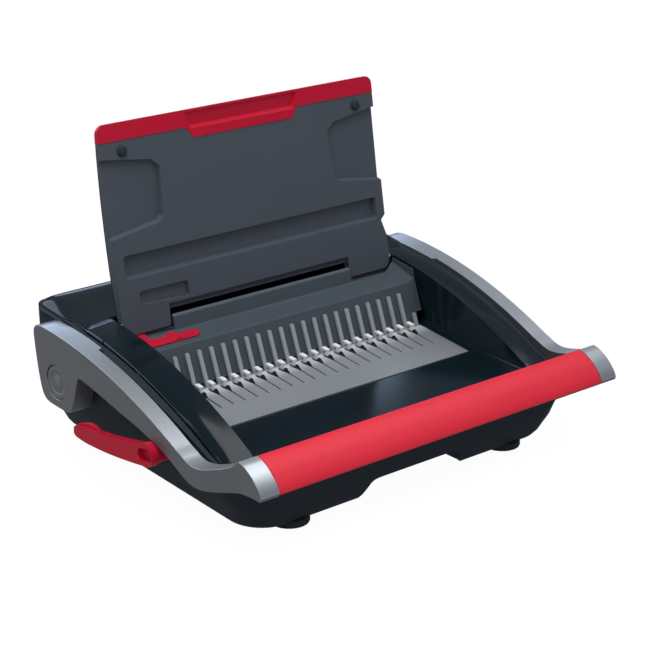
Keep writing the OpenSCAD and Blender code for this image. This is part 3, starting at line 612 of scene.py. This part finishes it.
SEAM_FRONT = [(-125, 76.4), (-137, 72.2), (-150, 67.2), (-163, 59.6), (-172, 51), (FRONT_Y, SEAM_Z)]
def seam(y):
    """Height of the shell's outer edge along the side."""
    if y >= SEAM_FRONT[0][0]:
        return arm_top(y) - EDGE - 0.4 * max(0.0, (-60 - y) / 65)
    return (follow(SEAM_FRONT, y) or [SEAM_Z])[0]


def edge_distance(x, y):
    """Distance in from the rounded plan outline, and how far round the front it is."""
    cx, cy = SEAM - CORNER, FRONT_Y + CORNER
    if x > cx and y < cy:
        away = Vector((x - cx, cy - y))
        return CORNER - away.length, away.y / max(away.length, 0.001)
    return min(SEAM - x, y - FRONT_Y), 0.0 if SEAM - x < y - FRONT_Y else 1.0


def half_width(y):
    """Half width of the rounded plan outline."""
    over = FRONT_Y + CORNER - y
    return SEAM if over <= 0 else SEAM - CORNER + math.sqrt(max(CORNER ** 2 - over ** 2, 0))


def quarter_drop(away, roll):
    """From 0 at the roll's inner end to 1 at the edge, along a quarter circle."""
    return 1 - math.sqrt(max(0.0, 1 - (1 - away / roll) ** 2))


FILLET_W, FILLET_H = 6, 5.0  # where the deck runs up into the walls of the well
SIDE_ROLL, FRONT_ROLL = 2.2, 14.0
def tray_height(x, y):
    x = abs(x)
    top, floor = crest(y), deck(y)
    if x < WELL:
        fillet = min(FILLET_H, max(0.0, top - floor))
        t = max(0.0, (x - (WELL - FILLET_W)) / FILLET_W)
        base = floor + fillet * (1 - math.sqrt(max(0.0, 1 - t ** 2)))
        height = base if x < WELL - 0.35 else max(base, top - EDGE)
    else:
        t = (x - WELL) / (SEAM - WELL)
        crown = 1.5 + 4.5 * smoothstep((-66 - y) / 34)  # the band is flatter towards the front
        height = max(floor, top) + (min(seam(y) + EDGE, top) - top) * t ** crown
    away, front = edge_distance(x, y)
    roll = SIDE_ROLL + FRONT_ROLL * front
    if away < roll:
        low = seam(y) if front < 1 else SEAM_Z
        height += (min(low, height) - height) * quarter_drop(away, roll)
    return height


# %% Tray mesh
OPEN_X, OPEN_FRONT, OPEN_BACK, TRAY_BACK = 161.2, -75.2, 6.0, 77.6
columns = [0, 30, 60, 90, 120, 140, 154, OPEN_X, 164, 166, 167.5, 169, 170.3, 171.2, 171.6, 172.05, 172.6,
           174, 177, 182, 188, 194, 198, 200.5, 201.8, 202.6, 203.1, SEAM]
columns = [-c for c in reversed(columns[1:])] + columns
rows = [TRAY_BACK - 6 * i for i in range(12)] + [
    OPEN_BACK, 0, -8, -16, -24, -32, -40, -48, -56, -66, OPEN_FRONT, -78, -84, -90, -98, -106, -114, -121,
    -128, -134, -139, -143, -147, -151, -155, -159, -162, -165, -167.5, -169.7, -171.6, -173.2, -174.5,
    -175.6, -176.4, -177.0, -177.4, -177.62, FRONT_Y]
def tray_point(i, j):
    y = rows[j]
    x = columns[i] * half_width(y) / SEAM if y < FRONT_Y + CORNER else columns[i]
    return Vector((x, y, tray_height(x, y)))


def in_opening(centre):
    """Where the plate, the tines and the lid's hinge lie open."""
    x, y = abs(centre.x), centre.y
    return (x < OPEN_X and y > OPEN_FRONT) or (x < WELL - 0.5 and y > OPEN_BACK)


tray_bm = surface_grid(len(columns), len(rows), tray_point)
drop_faces(tray_bm, in_opening)
thicken(piece("tray_moulding", tray_bm, "body", "gloss_shell", ["tray_shell"], smooth=38), 1.5)

# %% [markdown]
# ## The back cover
# Behind the lid the glossy skin climbs gently and rolls over at its sides and back. It
# is the same kind of grid as the tray, with its own height rule, and a slanting joint
# line separates the two mouldings.

# %% Back cover
COVER_BACK, COVER_CORNER, COVER_FRONT, COVER_REACH = 152.6, 14.0, 78.3, 5.8
COVER_LOW = 146.0  # height of its back edge
COVER_LINE = [(74, seam(74) + EDGE), (93, 141.8), (123, 145.3), (145, 147.2), (160, 148.2)]
def joint_y(x):
    """The slanting joint with the tray, from the crest out to the seam."""
    return 69.0 - 27.0 * max(0.0, min(1.0, (abs(x) - WELL) / (SEAM - WELL)))


def cover_edge(y):
    """Height of the glossy skin's outer edge: it leaves the line of the arms behind the hub."""
    return (follow(COVER_LINE, y) or [seam(y) + EDGE])[0]


def cover_full(y):
    """Half width of the glossy skin: it reaches the case's outer edge behind the arms."""
    return SEAM + COVER_REACH * smoothstep((y - 88) / 22)


def cover_half(y):
    """The same, drawn in round the rear corners."""
    over = y - (COVER_BACK - COVER_CORNER)
    half = cover_full(y)
    return half if over <= 0 else half - COVER_CORNER + math.sqrt(max(COVER_CORNER ** 2 - over ** 2, 0))


def cover_height(x, y):
    x = abs(x)
    edge = cover_full(y)
    top = crest(y) if y < 60 else 138.9 + 16.0 * smoothstep((y - 60) / 110)
    side = max(0.0, (x - WELL) / (edge - WELL))
    height = top + (min(cover_edge(y), top) - top) * side ** (1.5 + 2.5 * smoothstep((y - 80) / 60))
    away = min(edge - x, COVER_BACK - y)
    back = 0.0 if edge - x < COVER_BACK - y else 1.0
    reach = Vector((x - (edge - COVER_CORNER), y - (COVER_BACK - COVER_CORNER)))
    if reach.x > 0 and reach.y > 0:
        away, back = COVER_CORNER - reach.length, reach.y / max(reach.length, 0.001)
    roll = SIDE_ROLL + 11.0 * smoothstep((y - 95) / 45) + 6.0 * back
    if away < roll:
        low = COVER_LOW * back + (cover_edge(y) - EDGE) * (1 - back)
        height += (low - height) * quarter_drop(away, roll)
    return height


JOINT_ROWS, JOINT_GAP = 8, 0.25
cover_rows = [COVER_BACK, 152.5, 152.3, 152.0, 151.5, 150.8, 149.9, 148.6, 147, 145, 142.5, 139.5, 136, 132,
              127, 121, 114, 106, 98, 90, 84, COVER_FRONT]
joint_rows = [COVER_FRONT - 4.5 * (i + 1) for i in range(JOINT_ROWS)]
def cover_point(i, j):
    """The last rows reach forward to the slanting joint beside the well."""
    y = (cover_rows + joint_rows)[j]
    x = columns[i] * cover_half(y) / SEAM
    if j >= len(cover_rows):
        step = (j - len(cover_rows) + 1) / JOINT_ROWS
        y = COVER_FRONT + (joint_y(x) + JOINT_GAP - COVER_FRONT) * step
    return Vector((x, y, cover_height(x, y)))


cover_bm = surface_grid(len(columns), len(cover_rows) + JOINT_ROWS, cover_point)
drop_faces(cover_bm, lambda c: abs(c.x) < WELL + 0.2 and c.y < COVER_FRONT)
thicken(piece("back_moulding", cover_bm, "body", "gloss_shell", ["rear_cover"], smooth=38), 2.2)

# %% [markdown]
# ## The matte case
# The case flares up from a sloping underside and turns in at the top to a narrow matte
# ledge round the glossy shell. We draw the lowest ring of its plan, then extrude that
# ring upwards again and again, moving each new ring to the next level.

# %% Case rings
CASE_FRONT, CASE_BACK = -178.0, 156.0
FRONT_CORNER, BACK_CORNER = 35.0, 16.0
ARM_RECESS = 209.6  # behind the hub the case stays inside the arms
FLARE = [(0.0, 184.6, -163.0, 142.0), (1.6, 187.6, -166.4, 144.0), (5.7, 190.6, -169.4, 146.8),
         (13.4, 194.0, -172.6, 149.4), (22.0, 198.9, -175.8, 151.9), (31.0, 202.8, -177.3, 153.4),
         (45.0, 204.8, -178, 154.4), (75.0, 209.0, -178, 155.2), (98.0, 211.8, -178, 155.8),
         (140.0, 212.2, -178, 156)]
RISES = [rise for rise, *_ in FLARE[:6]]  # the low rings
SHARES = [0.25, 0.5, 0.75, 1.0]  # the rings between them and the ledge
def underside(y):
    """Height of the case's sloping bottom over the table."""
    return 12.0 + 0.0367 * y


def ledge(y):
    """Height of the case's top edge along the side."""
    if y > 74:
        return cover_edge(min(y, 152)) - 1.8
    if y >= SEAM_FRONT[0][0]:
        return arm_top(y) - 3
    return seam(y) - 0.6


def flare_at(rise):
    """Half width, front and back of the case at a height above its underside."""
    return follow(FLARE, rise) or FLARE[-1][1:]


def plan_ring(half, front, back):
    """Plan points round the case, starting at the middle of the front."""
    right = [(x, front) for x in (0, 40, 80, 120)]
    corner = arc((half - FRONT_CORNER, front + FRONT_CORNER), FRONT_CORNER, -90, 0, 12)
    side = [(half, y) for y in (-125, -100, -80, -60, -40, -20, 0, 20, 31, 34.5, 50, 70, 90, 110, 124)]
    rear = arc((half - BACK_CORNER, back - BACK_CORNER), BACK_CORNER, 0, 90, 8)
    end = [(x, back) for x in (152, 149.2, 120, 80, 36, 34, 0)]
    loop = right + corner + side + rear + end
    return loop + [(-x, y) for x, y in reversed(loop[1:-1])]


def case_point(level, k):
    """Point k of a ring: the low rings keep their height above the underside."""
    rise = RISES[min(level, len(RISES) - 1)]
    x, y = plan_ring(*flare_at(rise))[k]
    height = underside(y) + rise
    if level >= len(RISES):
        height += (ledge(y) - height) * SHARES[level - len(RISES)]
        x, y = plan_ring(*flare_at(height - underside(y)))[k]
    if y > 32 and abs(x) > ARM_RECESS:
        x = math.copysign(ARM_RECESS, x)
    return Vector((x, y, height))


def case_shell():
    """The case's side wall as an open skin, and the edges of its top ring."""
    bm = bmesh.new()
    count = len(plan_ring(*FLARE[0][1:]))
    ring = [bm.verts.new(case_point(0, k)) for k in range(count)]
    edges = [bm.edges.new((ring[k], ring[(k + 1) % count])) for k in range(count)]
    for level in range(1, len(RISES) + len(SHARES)):
        below = {v: k for k, v in enumerate(ring)}
        edges = only(bmesh.types.BMEdge, bmesh.ops.extrude_edge_only(bm, edges=edges)["geom"])
        for v in {v for e in edges for v in e.verts}:
            k = next(below[e.other_vert(v)] for e in v.link_edges if e.other_vert(v) in below)
            ring[k] = v
            v.co = case_point(level, k)
    return bm, edges


def on_corner(x, y, across, along, radius):
    """The nearest plan point of a rounded corner, whichever side of the machine it is on."""
    centre = Vector((math.copysign(across, x), along))
    return centre + (Vector((x, y)) - centre).normalized() * radius


LEDGE_GAP = 0.3
def ledge_point(v, drop):
    """Moves a top ring point in to the glossy shell's outline, and up or down."""
    x, y, height = v.co.x, v.co.y, v.co.z + drop
    half = cover_full(y) + LEDGE_GAP
    if y < CASE_FRONT + CORNER:
        if abs(x) > SEAM - CORNER:
            p = on_corner(x, y, SEAM - CORNER, FRONT_Y + CORNER, CORNER + LEDGE_GAP)
            return Vector((p.x, max(p.y, CASE_FRONT + 0.2), height))
        return Vector((x, CASE_FRONT + 0.2, height))
    if y > CASE_BACK - BACK_CORNER and abs(x) > half - COVER_CORNER:
        p = on_corner(x, y, half - COVER_CORNER, COVER_BACK - COVER_CORNER, COVER_CORNER + LEDGE_GAP)
        return Vector((*p, height))
    if y > 150:
        return Vector((x, COVER_BACK + 0.4, height))
    return Vector((math.copysign(min(half, abs(x)), x), y, height))


case_bm, top_edges = case_shell()
for drop in (0.5, -4.0):
    top_edges = only(bmesh.types.BMEdge, bmesh.ops.extrude_edge_only(case_bm, edges=top_edges)["geom"])
    for v in {v for e in top_edges for v in e.verts}:
        v.co = ledge_point(v, drop)
bmesh.ops.remove_doubles(case_bm, verts=case_bm.verts, dist=0.05)
case = piece("case_moulding", case_bm, "body", "matte_dark_plastic", ["base_pan"], smooth=34)
apply_modifier(thicken(case, 2.4, even=False), "wall")

# %% [markdown]
# The hand notch under the front edge has soft, slanting ends. The same outline first cuts
# the case and then, without its mouth, becomes the lining of the notch.

# %% Hand notch
NOTCH_END = curve([(66.5, 0), (65.4, 7), (61.6, 13), (58.6, 18), (55.8, 22.6), (51.5, 25.3), (45, 26)], 3)
NOTCH_BACK, LINING_FRONT, LINING_LOW = -142.0, -163.5, 7.2
notch_outline = NOTCH_END + [(-x, z) for x, z in reversed(NOTCH_END)]
carve(case, [plan_prism(notch_outline, -200, NOTCH_BACK)])
lining_bm = plan_prism(notch_outline, LINING_FRONT, NOTCH_BACK)
drop_faces(lining_bm, lambda c: c.y < LINING_FRONT + 1 or c.z < 1)  # its mouth and its foot
for v in lining_bm.verts:
    v.co.z = max(v.co.z, LINING_LOW)
    if v.co.y < LINING_FRONT + 1:
        v.co.y -= 0.6 * (v.co.z - LINING_LOW)  # it follows the lean of the case's front
thicken(piece("notch_lining", lining_bm, "body", "matte_dark_plastic"), 1.4, 1)

# %% [markdown]
# ## The lid
# The lid is drawn lying in its own frame: x across, y through its thickness and z up
# from its lower edge. Its pockets, trough and cut-out are milled with booleans from the
# slab, and a bevel then softens every edge at once.

# %% Lid frame and outline
LID_FOOT, LID_LEAN = (58.0, 126.3), 10.0
LID_HALF, LID_LEN = 170.0, 204.5
LID = Matrix.Translation((0, *LID_FOOT)) @ Matrix.Rotation(math.radians(-LID_LEAN), 4, "X")
LID_BACK = [(0, 9.4), (22, 10.2), (62, 12), (98, 11.8), (136, 10.4), (172, 7.6), (194, 5), (LID_LEN, 3)]
COVER_T = 2.0
def back_depth(z):
    """Depth of the lid's outer skin at a height."""
    return follow(LID_BACK, min(LID_LEN, max(0.0, z)))[0]


def slab(outline, front, depth_drop, skin=0.0):
    """A lid part from its front back to the curved outer skin, or a skin of one thickness."""
    bm = plan_prism(outline, front, 12.0)
    for z in range(20, 200, 12):
        slice_at(bm, (0, 0, z), (0, 0, 1))
    for v in bm.verts:
        if v.co.y > 11:
            v.co.y = back_depth(v.co.z) - depth_drop
        elif skin:
            v.co.y = back_depth(v.co.z) - skin
    return bm


CUT_HALF, CUT_UP = 114.5, 16.0
RIM_Z, RIM_MID = LID_LEN - 17.2, LID_LEN - 28.0
PINCH_X = 164.3  # the lid is pinched here, beside the trough
lid_lower = [(-LID_HALF, 0, 9), (-CUT_HALF, 0, 2), (-CUT_HALF, CUT_UP, 1.5), (CUT_HALF, CUT_UP, 1.5),
             (CUT_HALF, 0, 2), (LID_HALF, 0, 9)]
rim_step = [(LID_HALF, RIM_Z, 0), (69, RIM_Z, 2), (61.5, RIM_MID, 2), (-61.5, RIM_MID, 2), (-69, RIM_Z, 2),
            (-LID_HALF, RIM_Z, 0)]
skin_outline = rounded(lid_lower + rim_step)
panel_outline = rounded(lid_lower + [(LID_HALF, 34, 4), (PINCH_X, 52, 1.5), (LID_HALF, 57, 0.6)] + rim_step)
rim_outline = rounded(rim_step[::-1] + [(LID_HALF, LID_LEN, 19), (-LID_HALF, LID_LEN, 19)], 10)
print("lid outline", len(panel_outline), "points")

# %% Lid panel with its pockets
POCKET_D, TROUGH_D = 5.8, 7.0
def pocket(outline, depth, draft=1.6, lip=None):
    """A pocket cutter whose walls slope by draft, and by lip at the bottom."""
    bm = plan_prism(outline, -1.0, depth)
    middle = Vector([sum(values) / len(outline) for values in zip(*outline)])
    for v in bm.verts:
        if v.co.y < 0:
            away = Vector(v.co.xz) - middle
            v.co.x += math.copysign(min(draft, abs(away.x)), away.x)
            v.co.z += min(draft, away.y) if away.y > 0 else -min(lip or draft, -away.y)
    return bm


panel_bm = slab(panel_outline, 0.0, COVER_T + 0.1)
lid = piece("lid_inner", panel_bm, "lid", "grey_plastic", ["lid_panel"], lean=LID)
SIDE_POCKET = [(LID_HALF + 4, 171.5, 0), (115, 163, 5), (106, 155, 4), (109, 110, 4), (114, 105, 4),
               (LID_HALF + 4, 96, 0)]
cutters = [pocket(rounded([(s * x, z, r) for x, z, r in SIDE_POCKET]), POCKET_D, lip=3.0) for s in (1, -1)]
for v in [v for cutter in cutters for v in cutter.verts if v.co.y > 0]:
    v.co.y -= 1.5 * max(0.0, (v.co.z - 105) / 66)  # the lid is thinner towards its top
TROUGH = [(-158, 57, 3), (158, 57, 3), (158, 76, 3), (-158, 76, 3)]
LOW_POCKET = [(-146, 39.5, 3), (-90, 39.5, 3), (-89.5, 25, 2.5), (-146, 28.5, 3)]
cutters += [pocket(rounded(TROUGH), TROUGH_D, lip=3.5), pocket(rounded(LOW_POCKET), 4.2, 1.0)]
FLAP_ROOM = [(-1, CUT_UP - 0.5), (4.2, CUT_UP - 0.5), (4.2, CUT_UP + 1.6), (-1, CUT_UP + 7.2)]
cutters.append(prism(FLAP_ROOM, -CUT_HALF, CUT_HALF))  # a chamfer that clears the flap when the lid is shut
carve(lid, cutters, LID)
soften(lid, 0.9, 3, 25)

# %% Lid rim, back skin and bumpers
rim = piece("lid_rim_moulding", slab(rim_outline, -0.6, 0.0), "lid", "red_plastic", ["lid_rim"], lean=LID)
FINGER_TOP, FINGER_H = LID_LEN - 2.8, 12.7
finger = [(-70, FINGER_TOP, 2), (-63, FINGER_TOP - FINGER_H, 2), (63, FINGER_TOP - FINGER_H, 2),
          (70, FINGER_TOP, 2)]
finger_cut = pocket(rounded(finger), 1.3, 0.6, 3.8)
for v in finger_cut.verts:
    if v.co.y > 0:
        v.co.y += 2.4 * (FINGER_TOP - v.co.z) / FINGER_H
carve(rim, [finger_cut], LID)
soften(rim, 1.1, 3, 25)
skin_bm = slab(skin_outline, 6.5, 0.0, COVER_T)
soften(piece("lid_outer", skin_bm, "lid", "gloss_shell", ["lid_cover"], lean=LID), 0.7, 2, 40)
BUMPER = [(0, -3.2), (3.4, -3.2), (4.6, -2.6), (5.3, -1.4), (5.6, 0), (0, 0)]
for side, s in SIDES:
    button = turned(BUMPER, (s * 145, 0, LID_LEN - 27.5), (0, 1, 0), 32)
    piece(f"bumper_{side}", button, "lid", "rubber_black", [f"lid_bumper_{side}"], smooth=45, lean=LID)

# %% [markdown]
# ## The tine housing
# The housing is the grey ridge behind the tines: a sloping face, a paper strip and a
# raised flap whose top edge is rounded. Each is a side outline pushed out to its width.

# %% Tine housing
STRIP = [(4.6, 82), (19.4, 120.6), (48.6, 122.6), (49.4, 121.8), (50.2, 122.6), (55.5, 122.9), (55, 119),
         (44, 118.6), (21.8, 117), (8, 82)]
FLAP = [(50.4, 120, 0), (53.2, 122.6, 1), (56.0, 135.3, 2), (59.4, 138.2, 1.2), (59.2, 135.4, 0.6),
        (55.8, 120, 0)]
BEVEL_FROM, HOUSING_HALF = 161.5, 170.3
housing_bm = prism(STRIP, -HOUSING_HALF, HOUSING_HALF)
for s in (1, -1):
    bevel_cut = slice_at(housing_bm, (s * BEVEL_FROM, 4, 0), (s * 20, -10.5, 0), clear_outer=True)
    bmesh.ops.holes_fill(housing_bm, edges=only(bmesh.types.BMEdge, bevel_cut), sides=0)
soften(piece("tine_ridge", housing_bm, "body", "grey_plastic", ["tine_housing"], finish=HOUSING), 0.8, 3)
flap_bm = prism(rounded(FLAP), -113.6, 112.6)
soften(piece("paper_flap", flap_bm, "body", "grey_plastic", finish=HOUSING), 0.7, 3, 40)
CHEEK = [(9, 90), (20, 119.5), (23.5, crest(24) - 2.6), (56, crest(56) - 2.6), (54, 110), (46, 90)]
CHEEK_IN, CHEEK_EDGE, CHEEK_OUT = 160.2, 170.5, 171.6
LID_SHUT, STRIP_TOP = (116.8, 0.2867), (119.3, 0.0685)  # height at y = 0 and slope
for side, s in SIDES:
    cheek_bm = prism(CHEEK, *sorted((s * CHEEK_IN, s * CHEEK_OUT)))
    for level, slope in (LID_SHUT, STRIP_TOP):
        slice_at(cheek_bm, (0, 0, level), (0, -slope, 1))
    for v in cheek_bm.verts:
        above = v.co.z > LID_SHUT[0] + LID_SHUT[1] * v.co.y - 0.1
        if abs(v.co.x) < 165 and (above or s < 0):
            v.co.x = s * CHEEK_EDGE
    soften(piece(f"end_cheek_{side}", cheek_bm, "body", "grey_plastic", finish=HOUSING), 0.8, 2)

# %% [markdown]
# The slits in the steel plate open into three-cornered mouths at the foot of the tines,
# and thin black sheets laid on the plate there are painted shade for their dark insides.
# One small outline is pushed out again and again along the comb's pitch.

# %% Painted shade in the slit mouths
TINES, TINE_PITCH = 21, 14.2875
MOUTH_SHADE = [(-0.9, -18), (0.9, -18), (5.2, -8), (5.2, -6.4), (-3.4, -6.4)]
SLOPE = Matrix.Translation((0, 0, PLATE_Z)) @ Matrix.Rotation(PLATE_TILT, 4, "X")
mouth_shade_bm = bmesh.new()
for i in range(TINES):
    middle = (i - (TINES - 1) / 2) * TINE_PITCH
    push_out(mouth_shade_bm, [(x + middle, y, 0.05) for x, y in MOUTH_SHADE], (0, 0, 0.15))
piece("slit_mouth_shade", mouth_shade_bm, "body", "black_plastic", lean=SLOPE)

# %% [markdown]
# ## The red comb lever
# The comb lever is a flat paddle with a thumb ridge and an eye round its shaft. The
# paddle and the ridge are two outlines of different thickness, and a boolean scoops the
# long dimple out of the eye.

# %% Comb lever
LEVER_OUT, LEVER_IN, EYE = -240.5, -233.2, (-75.5, 69.0)
PADDLE_TOP = [(-74, 80.4), (-60, 76.2), (-28, 69.8), (1, 65), (23, 62.3), (41, 59.8)]
PADDLE_UNDER = [(43.3, 57.5), (43.6, 52), (41, 49.4), (33, 48.2), (16, 47.9), (-18, 50.2), (-51, 54.2),
                (-73, 57.6)]
paddle = curve(PADDLE_TOP) + curve(PADDLE_UNDER) + arc(EYE, 11.5, -80, -280, 14)
lever = piece("lever_paddle", prism(paddle, LEVER_OUT, LEVER_IN), "opener", "red_plastic", ["opener_lever"])
dimple = arc((-79.6, 70.0), 6.7, 102, 282, 10) + arc((-70.4, 68.0), 6.7, -78, 102, 10)
carve(lever, [prism(dimple, LEVER_OUT - 1, LEVER_OUT + 5)])
soften(lever, 1.3, 3)
TAB = [(3, 63.6), (7.5, 65.4), (13, 67.4), (22, 67.2), (36, 63), (43, 59)]
tab_bm = prism(curve(TAB) + [(43, 54), (5, 56)], LEVER_OUT + 3.6, LEVER_IN)
soften(piece("lever_tab", tab_bm, "opener", "red_plastic"), 1.2, 3)
NECK = [(0, 0), (10.2, 0), (10.2, 17.2), (9.6, 18.6), (0, 18.6)]
piece("lever_neck", turned(NECK, (LEVER_IN - 0.5, *EYE), (1, 0, 0)), "opener", "red_plastic")

# %% [markdown]
# ## Feet, margin guide, and finishing the scene
# The rest is small: rubber feet that are spun, and the flat red guide on the strip.

# %% Feet and guide
FEET = {"front_left": (-135.1, -150.7), "front_right": (135.1, -150.7), "rear_left": (-135.1, 118),
        "rear_right": (135.1, 118)}
for name, (x, y) in FEET.items():
    top = underside(y)
    pad = [(0, 0), (17, 0), (18.6, 0.6), (19.2, 2), (19, top - 0.5), (18.2, top + 0.5), (0, top + 0.5)]
    foot_bm = turned(pad, (x, y, 0), (0, 0, 1))
    piece(f"foot_{name}_rubber", foot_bm, "body", "rubber_black", [f"foot_{name}"], smooth=40)
STRIP_TILT = math.atan((122.6 - 120.6) / (48.6 - 19.4))
GUIDE = Matrix.Translation((0, 19.4, 120.9)) @ Matrix.Rotation(STRIP_TILT, 4, "X")
guide_outline = rounded([(-159.6, 8.6, 1), (-105, 8.6, 2), (-98, 13.5, 3), (-97.5, 19, 2), (-101, 23, 2),
                         (-138, 22.8, 2), (-150.4, 25, 3), (-146, 41.5, 1.5), (-159.6, 42.5, 1)])
guide_bm = push_out(bmesh.new(), [(x, y, 0) for x, y in guide_outline], (0, 0, 1.4))
soften(piece("margin_plate", guide_bm, "margin_guide", "red_plastic", ["edge_guide"], lean=GUIDE), 0.4, 2)
fold = plan_prism([(-133, 1), (-127.6, 3.2), (-124.4, 3.3), (-119.5, 1)], 9.4, 26)
soften(piece("margin_fold", fold, "margin_guide", "red_plastic", lean=GUIDE), 0.5, 2)

# %% [markdown]
# ## Studio
# The floor is a wide pale sheet with a glow of its own, so that it looks almost white
# and still takes a soft shadow. The world is white to the camera, but reflections see a
# dim dome instead, so that the dark gloss stays dark. Softboxes are seen in reflections
# only, and two fills light only the matte side of things.

# %% Floor
FLOOR_SIZE, FLOOR_GREY = 6.0, (0.5, 0.5, 0.5, 1)
SEEN_SHARE, MIRRORED_SHARE = 0.88, 0.75  # share of glow in the floor, for the camera and in reflections
GLOW, SEEN_GLOW = 0.3, 0.8  # its strength in reflections, and what the camera sees on top
def any_mirror(tree, path):
    return math_node(tree, "MAXIMUM", path.outputs["Is Glossy Ray"], path.outputs["Is Transmission Ray"])


floor_bm = bmesh.new()
bmesh.ops.create_grid(floor_bm, x_segments=1, y_segments=1, size=FLOOR_SIZE)
floor = stand("floor", floor_bm)
pale = bpy.data.materials.new("pale floor")
pale.use_nodes = True
floor.data.materials.append(pale)
tree = pale.node_tree
tree.nodes.clear()
matt, glow = tree.nodes.new("ShaderNodeBsdfDiffuse"), tree.nodes.new("ShaderNodeEmission")
matt.inputs["Color"].default_value = FLOOR_GREY
path = tree.nodes.new("ShaderNodeLightPath")
camera_ray = path.outputs["Is Camera Ray"]
share = math_node(tree, "MAXIMUM", math_node(tree, "MULTIPLY", camera_ray, SEEN_SHARE),
                  math_node(tree, "MULTIPLY", any_mirror(tree, path), MIRRORED_SHARE))
strength = math_node(tree, "ADD", math_node(tree, "MULTIPLY", camera_ray, SEEN_GLOW), GLOW)
feed(tree, strength, glow.inputs["Strength"])
mix = tree.nodes.new("ShaderNodeMixShader")
for socket, value in zip(mix.inputs, (share, matt.outputs[0], glow.outputs[0])):
    feed(tree, value, socket)
feed(tree, mix.outputs[0], tree.nodes.new("ShaderNodeOutputMaterial").inputs["Surface"])

# %% World
def dome(tree, height, stops):
    """A sky that depends on height only: (height, colour) stops from horizon to zenith."""
    ramp = tree.nodes.new("ShaderNodeValToRGB")
    tree.links.new(height, ramp.inputs["Fac"])
    for k, (at, color) in enumerate(stops):
        stop = ramp.color_ramp.elements[k] if k < 2 else ramp.color_ramp.elements.new(at)
        stop.position = at
        stop.color = (*color, 1)
    return ramp.outputs["Color"]


LIGHT_DOME = [(0.0, (0.14, 0.145, 0.155)), (1.0, (0.92, 0.94, 0.97))]
MIRROR_DOME = [(0.0, (0.2, 0.22, 0.25)), (0.08, (0.12, 0.14, 0.165)), (0.42, (0.085, 0.105, 0.125)),
               (0.58, (0.27, 0.3, 0.34)), (0.72, (0.24, 0.27, 0.31)), (0.86, (0.14, 0.16, 0.19)),
               (1.0, (0.14, 0.16, 0.19))]
world = bpy.data.worlds.new("studio")
bpy.context.scene.world = world
world.use_nodes = True
tree = world.node_tree
path = tree.nodes.new("ShaderNodeLightPath")
up = parts_of(tree, tree.nodes.new("ShaderNodeTexCoord").outputs["Generated"])["Z"]
sky = blend(tree, any_mirror(tree, path), dome(tree, up, LIGHT_DOME), dome(tree, up, MIRROR_DOME))
seen = blend(tree, path.outputs["Is Camera Ray"], sky, (1.0, 1.0, 1.0, 1.0))
feed(tree, seen, tree.nodes["Background"].inputs["Color"])

# %% Lamps
def lamp(name, at, aim, size, power, color=(1, 1, 1)):
    light = bpy.data.lights.new(name, "AREA")
    light.shape = "RECTANGLE"
    light.size, light.size_y = size
    light.energy = power
    light.color = color
    obj = stand(name, light)
    obj.location = at
    obj.rotation_euler = (Vector(aim) - Vector(at)).to_track_quat("-Z", "Y").to_euler()
    return obj


LAMPS_AIM = (0, 0, 0.12)
SOFTBOXES = [("key softbox", (0.74, -0.3, 1.68), (1.1, 1.1), 10, (1, 1, 1)),
             ("edge softbox", (-0.95, 1.5, 1.3), (2.4, 1.6), 30, (0.72, 0.82, 1.0)),
             ("back softbox", (0.93, 1.51, 0.76), (0.9, 0.4), 3.0, (0.55, 0.7, 1.0))]
for name, at, size, power, color in SOFTBOXES:
    lamp(name, at, LAMPS_AIM, size, power, color).visible_diffuse = False
for name, at, power in (("top fill", (-0.5, -0.2, 1.7), 13.0), ("front fill", (-0.3, -1.9, 0.9), 2.5)):
    lamp(name, at, LAMPS_AIM, (1.1, 0.9), power).visible_glossy = False

# %% Camera
CAMERA_YAW, CAMERA_PITCH, LENS = 39.571, 20.223, 104.8
CAMERA_AT = (-1105.19, -1375.74, 766.04)
cam_data = bpy.data.cameras.new("camera")
cam_data.lens = LENS
cam_data.sensor_width = 36.0
camera = stand("camera", cam_data)
camera.location = PLACE @ Vector(CAMERA_AT)
camera.rotation_euler = (math.radians(90 - CAMERA_PITCH), 0, math.radians(-CAMERA_YAW))
bpy.context.scene.camera = camera
bpy.context.scene.view_settings.view_transform = "Standard"
